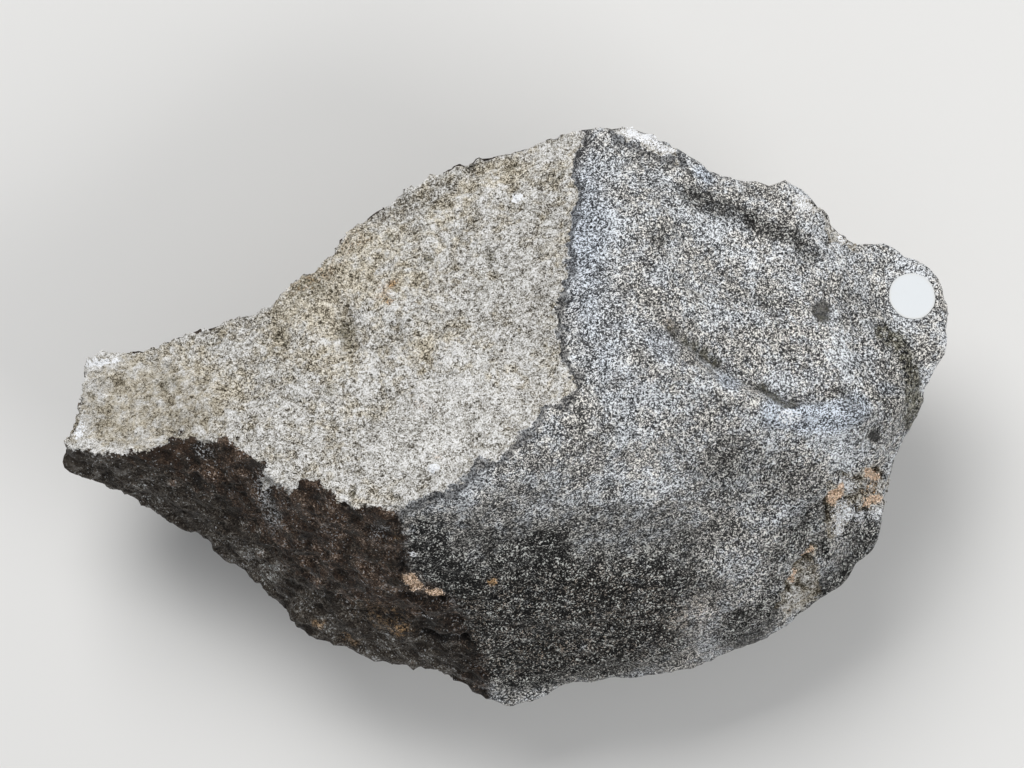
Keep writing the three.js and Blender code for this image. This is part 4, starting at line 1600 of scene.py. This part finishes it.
@dataclass
class Grains:
    """Angular grains that stand out of the broken face."""

    name: str = "broken_face_grains"
    sizes: dict[str, float] = field(
        default_factory=lambda: {
            "Density": 1.5,
            "Smallest": 0.5,
            "Largest": 1.25,
            "Radius": 0.35,
            "Edge": 0.1,
        }
    )
    seed: int = 11
    thinnest: tuple[float, float, float] = (0.7, 0.45, 0.35)
    fullest: tuple[float, float, float] = (1.25, 1.0, 0.8)

    def build(self, stone: bpy.types.Mesh, finish: bpy.types.Material) -> bpy.types.Object:
        """Makes the piece.

        Args:
            stone: the stone's finished mesh, which the grains are set on.
            finish: the stone's material.

        Returns:
            The object.
        """
        made = new_object(self.name, stone.copy())
        mesh = self.tree(finish).run(made)
        mesh.polygons.foreach_set("use_smooth", np.zeros(len(mesh.polygons), bool))
        mesh.name = self.name
        return made

    def tree(self, finish: bpy.types.Material) -> GeometryTree:
        """The tree that scatters the grains.

        Args:
            finish: the stone's material.

        Returns:
            The tree.
        """
        made = GeometryTree(self.name, self.sizes, self.seed)
        graph = made.graph
        seed = made.number("Seed")
        bare = graph.node(
            "FunctionNodeCompare",
            {"data_type": "FLOAT", "operation": "GREATER_THAN"},
            {0: made.attribute(Layer.PALE), 1: made.number("Edge")},
        )
        density = made.number("Density") * (1.0 / (MM * MM))
        ground = {"Mesh": made.start.outputs["Geometry"], "Selection": bare.outputs[0]}
        points = graph.node(
            "GeometryNodeDistributePointsOnFaces",
            {"distribute_method": "RANDOM"},
            {**ground, "Density": density, "Seed": seed},
        )
        radius = made.number("Radius") * MM
        grain = graph.node("GeometryNodeMeshIcoSphere", {}, {"Radius": radius, "Subdivisions": 1})
        turn = self.chance(graph, (0.0, 0.0, 0.0), (math.tau, math.tau, math.tau), seed)
        stretch = self.chance(graph, self.thinnest, self.fullest, seed + 1.0)
        whole = self.chance(graph, made.number("Smallest"), made.number("Largest"), seed + 2.0)
        placed = graph.node(
            "GeometryNodeInstanceOnPoints",
            {},
            {
                "Points": points.outputs["Points"],
                "Instance": grain.outputs["Mesh"],
                "Rotation": turn,
                "Scale": graph.vector("SCALE", stretch, scale=whole),
            },
        )
        made.end(placed.outputs[0], finish)
        return made

    @staticmethod
    def chance(graph: Graph, low: Any, high: Any, seed: Any) -> Wire:
        """A random number or vector for each grain.

        Args:
            graph: the tree's graph.
            low: the least it can be, as a vector or as a wire for a number.
            high: the most it can be.
            seed: its seed.

        Returns:
            The result as a wire.
        """
        kind = "FLOAT_VECTOR" if isinstance(low, tuple) else "FLOAT"
        inputs = {"Min": low, "Max": high, "Seed": seed}
        node = graph.node("FunctionNodeRandomValue", {"data_type": kind}, inputs)
        return Wire(graph, next(s for s in node.outputs if s.enabled))


# -------------------------------------------------------------------------------- the label


@dataclass
class PaperDot:
    """The round paper dot, pressed onto the stone."""

    name: str = "paper_label"
    centre: tuple[float, float, float] = (68.6, 20.89, 42.2)
    normal: tuple[float, float, float] = (0.22, 0.26, 0.94)
    radius: float = 4.0
    thickness: float = 0.22
    glue: float = 0.03
    rings: int = 14
    sides: int = 96
    start_height: float = 6.0
    nicks: tuple[tuple[float, float, float], ...] = ((0.006, 7.0, 0.6), (0.004, 17.0, 0.0))
    relax_rounds: int = 30
    bevel: float = 0.05

    def build(self, stone: bpy.types.Mesh, finish: bpy.types.Material) -> bpy.types.Object:
        """Makes the piece.

        Args:
            stone: the stone's finished mesh.
            finish: the paper's material.

        Returns:
            The object.
        """
        up = Vector(self.normal).normalized()
        side = up.cross(Vector((0.0, 1.0, 0.0))).normalized()
        fore = up.cross(side)
        places = self.places()
        feet = [Vector(self.centre) * MM + (side * across + fore * along) * MM for across, along in places]
        lay = self.relaxed(self.ground(stone, feet, up))
        points = []
        for lift in (self.glue, self.glue + self.thickness):
            points += [(foot + up * (height + lift) * MM)[:] for foot, height in zip(feet, lay)]
        mesh = bpy.data.meshes.new(self.name)
        mesh.from_pydata(points, [], self.faces(len(places)))
        mesh.validate()
        work = bmesh.new()
        work.from_mesh(mesh)
        bmesh.ops.recalc_face_normals(work, faces=work.faces)
        work.to_mesh(mesh)
        work.free()
        mesh.polygons.foreach_set("use_smooth", np.ones(len(mesh.polygons), bool))
        store(mesh, "rim", np.array([math.hypot(*place) / self.radius for place in places] * 2))
        mesh.materials.append(finish)
        made = new_object(self.name, mesh)
        bevel = made.modifiers.new("edge", "BEVEL")
        bevel.width = self.bevel * MM
        bevel.segments = 2
        bevel.limit_method = "ANGLE"
        baked(made)
        return made

    def places(self) -> list[Pair]:
        """The dot's points on its own plane, ring by ring from the middle, in mm."""
        places: list[Pair] = [(0.0, 0.0)]
        for ring in range(1, self.rings + 1):
            for step in range(self.sides):
                angle = 2.0 * math.pi * step / self.sides
                nick = sum(depth * math.sin(count * angle + start) for depth, count, start in self.nicks)
                reach = self.radius * ring / self.rings * (1.0 + nick if ring == self.rings else 1.0)
                places.append((reach * math.cos(angle), reach * math.sin(angle)))
        return places

    def ground(self, stone: bpy.types.Mesh, feet: list[Vector], up: Vector) -> np.ndarray:
        """How high the stone stands over the dot's own plane.

        Args:
            stone: the stone's finished mesh.
            feet: the dot's points on its plane.
            up: the plane's normal.

        Returns:
            The height at each point, in mm.
        """
        tree = BVHTree.FromPolygons([v.co for v in stone.vertices], [p.vertices for p in stone.polygons])
        heights = []
        for foot in feet:
            hit = tree.ray_cast(foot + up * self.start_height * MM, -up)[0]
            heights.append(0.0 if hit is None else (hit - foot).dot(up) / MM)
        return np.array(heights)

    def relaxed(self, heights: np.ndarray) -> np.ndarray:
        """Lays stiff paper over the ground's heights: it follows them only softly.

        Args:
            heights: the ground under each point of the dot, in mm.

        Returns:
            The paper's heights, in mm.
        """
        grid = heights[1:].reshape(self.rings, self.sides)
        centre = heights[0]
        for _ in range(self.relax_rounds):
            inner = np.vstack([np.full((1, self.sides), centre), grid[:-1]])
            outer = np.vstack([grid[1:], grid[-1:]])
            soft = (inner + outer + np.roll(grid, 1, 1) + np.roll(grid, -1, 1)) / 4.0
            grid = np.maximum(soft, grid * 0.5 + soft * 0.5)
            centre = float(grid[0].mean())
        relaxed = np.concatenate([[centre], grid.ravel()])
        return np.maximum(relaxed, heights)

    def faces(self, count: int) -> list[tuple[int, ...]]:
        """The dot's faces.

        Args:
            count: how many points each side of the paper has.

        Returns:
            The corner numbers of each face.
        """
        faces: list[tuple[int, ...]] = []
        for base in (0, count):
            for step in range(self.sides):
                after = (step + 1) % self.sides
                faces.append((base, base + 1 + step, base + 1 + after))
                for ring in range(self.rings - 1):
                    low = base + 1 + ring * self.sides
                    high = low + self.sides
                    faces.append((low + step, high + step, high + after, low + after))
        edge = 1 + (self.rings - 1) * self.sides
        for step in range(self.sides):
            after = (step + 1) % self.sides
            faces.append((edge + step, edge + after, count + edge + after, count + edge + step))
        return faces


# -------------------------------------------------------------------------------- the studio


@dataclass
class Studio:
    """The pale floor, the soft light and the camera."""

    eye: Eye = field(default_factory=Eye)
    floor_half: float = 3.0
    lens: float = 186.1
    sensor: float = 36.0
    key_place: tuple[float, float, float] = (-0.26, 0.68, 1.04)
    key_size: float = 0.6
    key_power: float = 11.2
    fill_place: tuple[float, float, float] = (0.72, -0.36, 0.62)
    fill_size: float = 0.5
    fill_power: float = 4.0
    aim: tuple[float, float, float] = (0.0, 0.0, 0.03)
    sky: Colour = (0.93, 0.96, 1.0, 1.0)
    sky_strength: float = 0.36

    def build(self, finish: bpy.types.Material) -> None:
        """Makes the floor, the lights and the camera.

        Args:
            finish: the floor's material.
        """
        scene = bpy.context.scene
        half = self.floor_half
        mesh = bpy.data.meshes.new("floor")
        corners = [(-half, -half, 0.0), (half, -half, 0.0), (half, half, 0.0), (-half, half, 0.0)]
        mesh.from_pydata(corners, [], [(0, 1, 2, 3)])
        mesh.materials.append(finish)
        floor = new_object("floor", mesh)

        self.lamp("soft_key", self.key_place, self.key_size, self.key_power)
        self.lamp("soft_fill", self.fill_place, self.fill_size, self.fill_power)

        world = bpy.data.worlds.new("studio")
        world.use_nodes = True
        graph = Graph(world.node_tree)
        sky = graph.node("ShaderNodeBackground", {}, {"Color": self.sky, "Strength": self.sky_strength})
        graph.node("ShaderNodeOutputWorld", {}, {"Surface": sky.outputs[0]})
        scene.world = world

        lens = bpy.data.cameras.new("camera")
        lens.lens = self.lens
        lens.sensor_width = self.sensor
        camera = bpy.data.objects.new("camera", lens)
        camera.location = (self.eye.x * MM, self.eye.y * MM, self.eye.z * MM)
        scene.collection.objects.link(camera)
        scene.camera = camera
        scene.view_settings.view_transform = "Standard"

    def lamp(self, name: str, place: tuple[float, float, float], size: float, power: float) -> None:
        """Adds a square lamp that faces the stone.

        Args:
            name: the lamp's name.
            place: where it hangs, in metres.
            size: the length of its side, in metres.
            power: its power, in watts.
        """
        data = bpy.data.lights.new(name, "AREA")
        data.shape = "SQUARE"
        data.size = size
        data.energy = power
        lamp = bpy.data.objects.new(name, data)
        lamp.location = place
        lamp.rotation_euler = (Vector(self.aim) - lamp.location).to_track_quat("-Z", "Y").to_euler()
        bpy.context.scene.collection.objects.link(lamp)


# -------------------------------------------------------------------------------- assembly


def report(made: bpy.types.Object) -> None:
    """Logs a piece's name and triangle count."""
    triangles = sum(len(p.vertices) - 2 for p in made.data.polygons)
    LOG.info("%s: %d triangles", made.name, triangles)


def main() -> None:
    """Builds the stone, the label and the studio, and ties the pieces to the frame."""
    logging.basicConfig(level=logging.INFO, format="%(message)s")
    Studio().build(FloorFinish().build())
    stone = Stone().build(StoneFinish().build())
    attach(stone, "root")
    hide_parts("meteorite")
    report(stone)
    grains = Grains().build(stone.data, stone.data.materials[0])
    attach(grains, "root")
    report(grains)
    label = PaperDot().build(stone.data, PaperFinish().build())
    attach(label, "root")
    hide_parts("label")
    report(label)


if __name__ == "__main__":
    main()
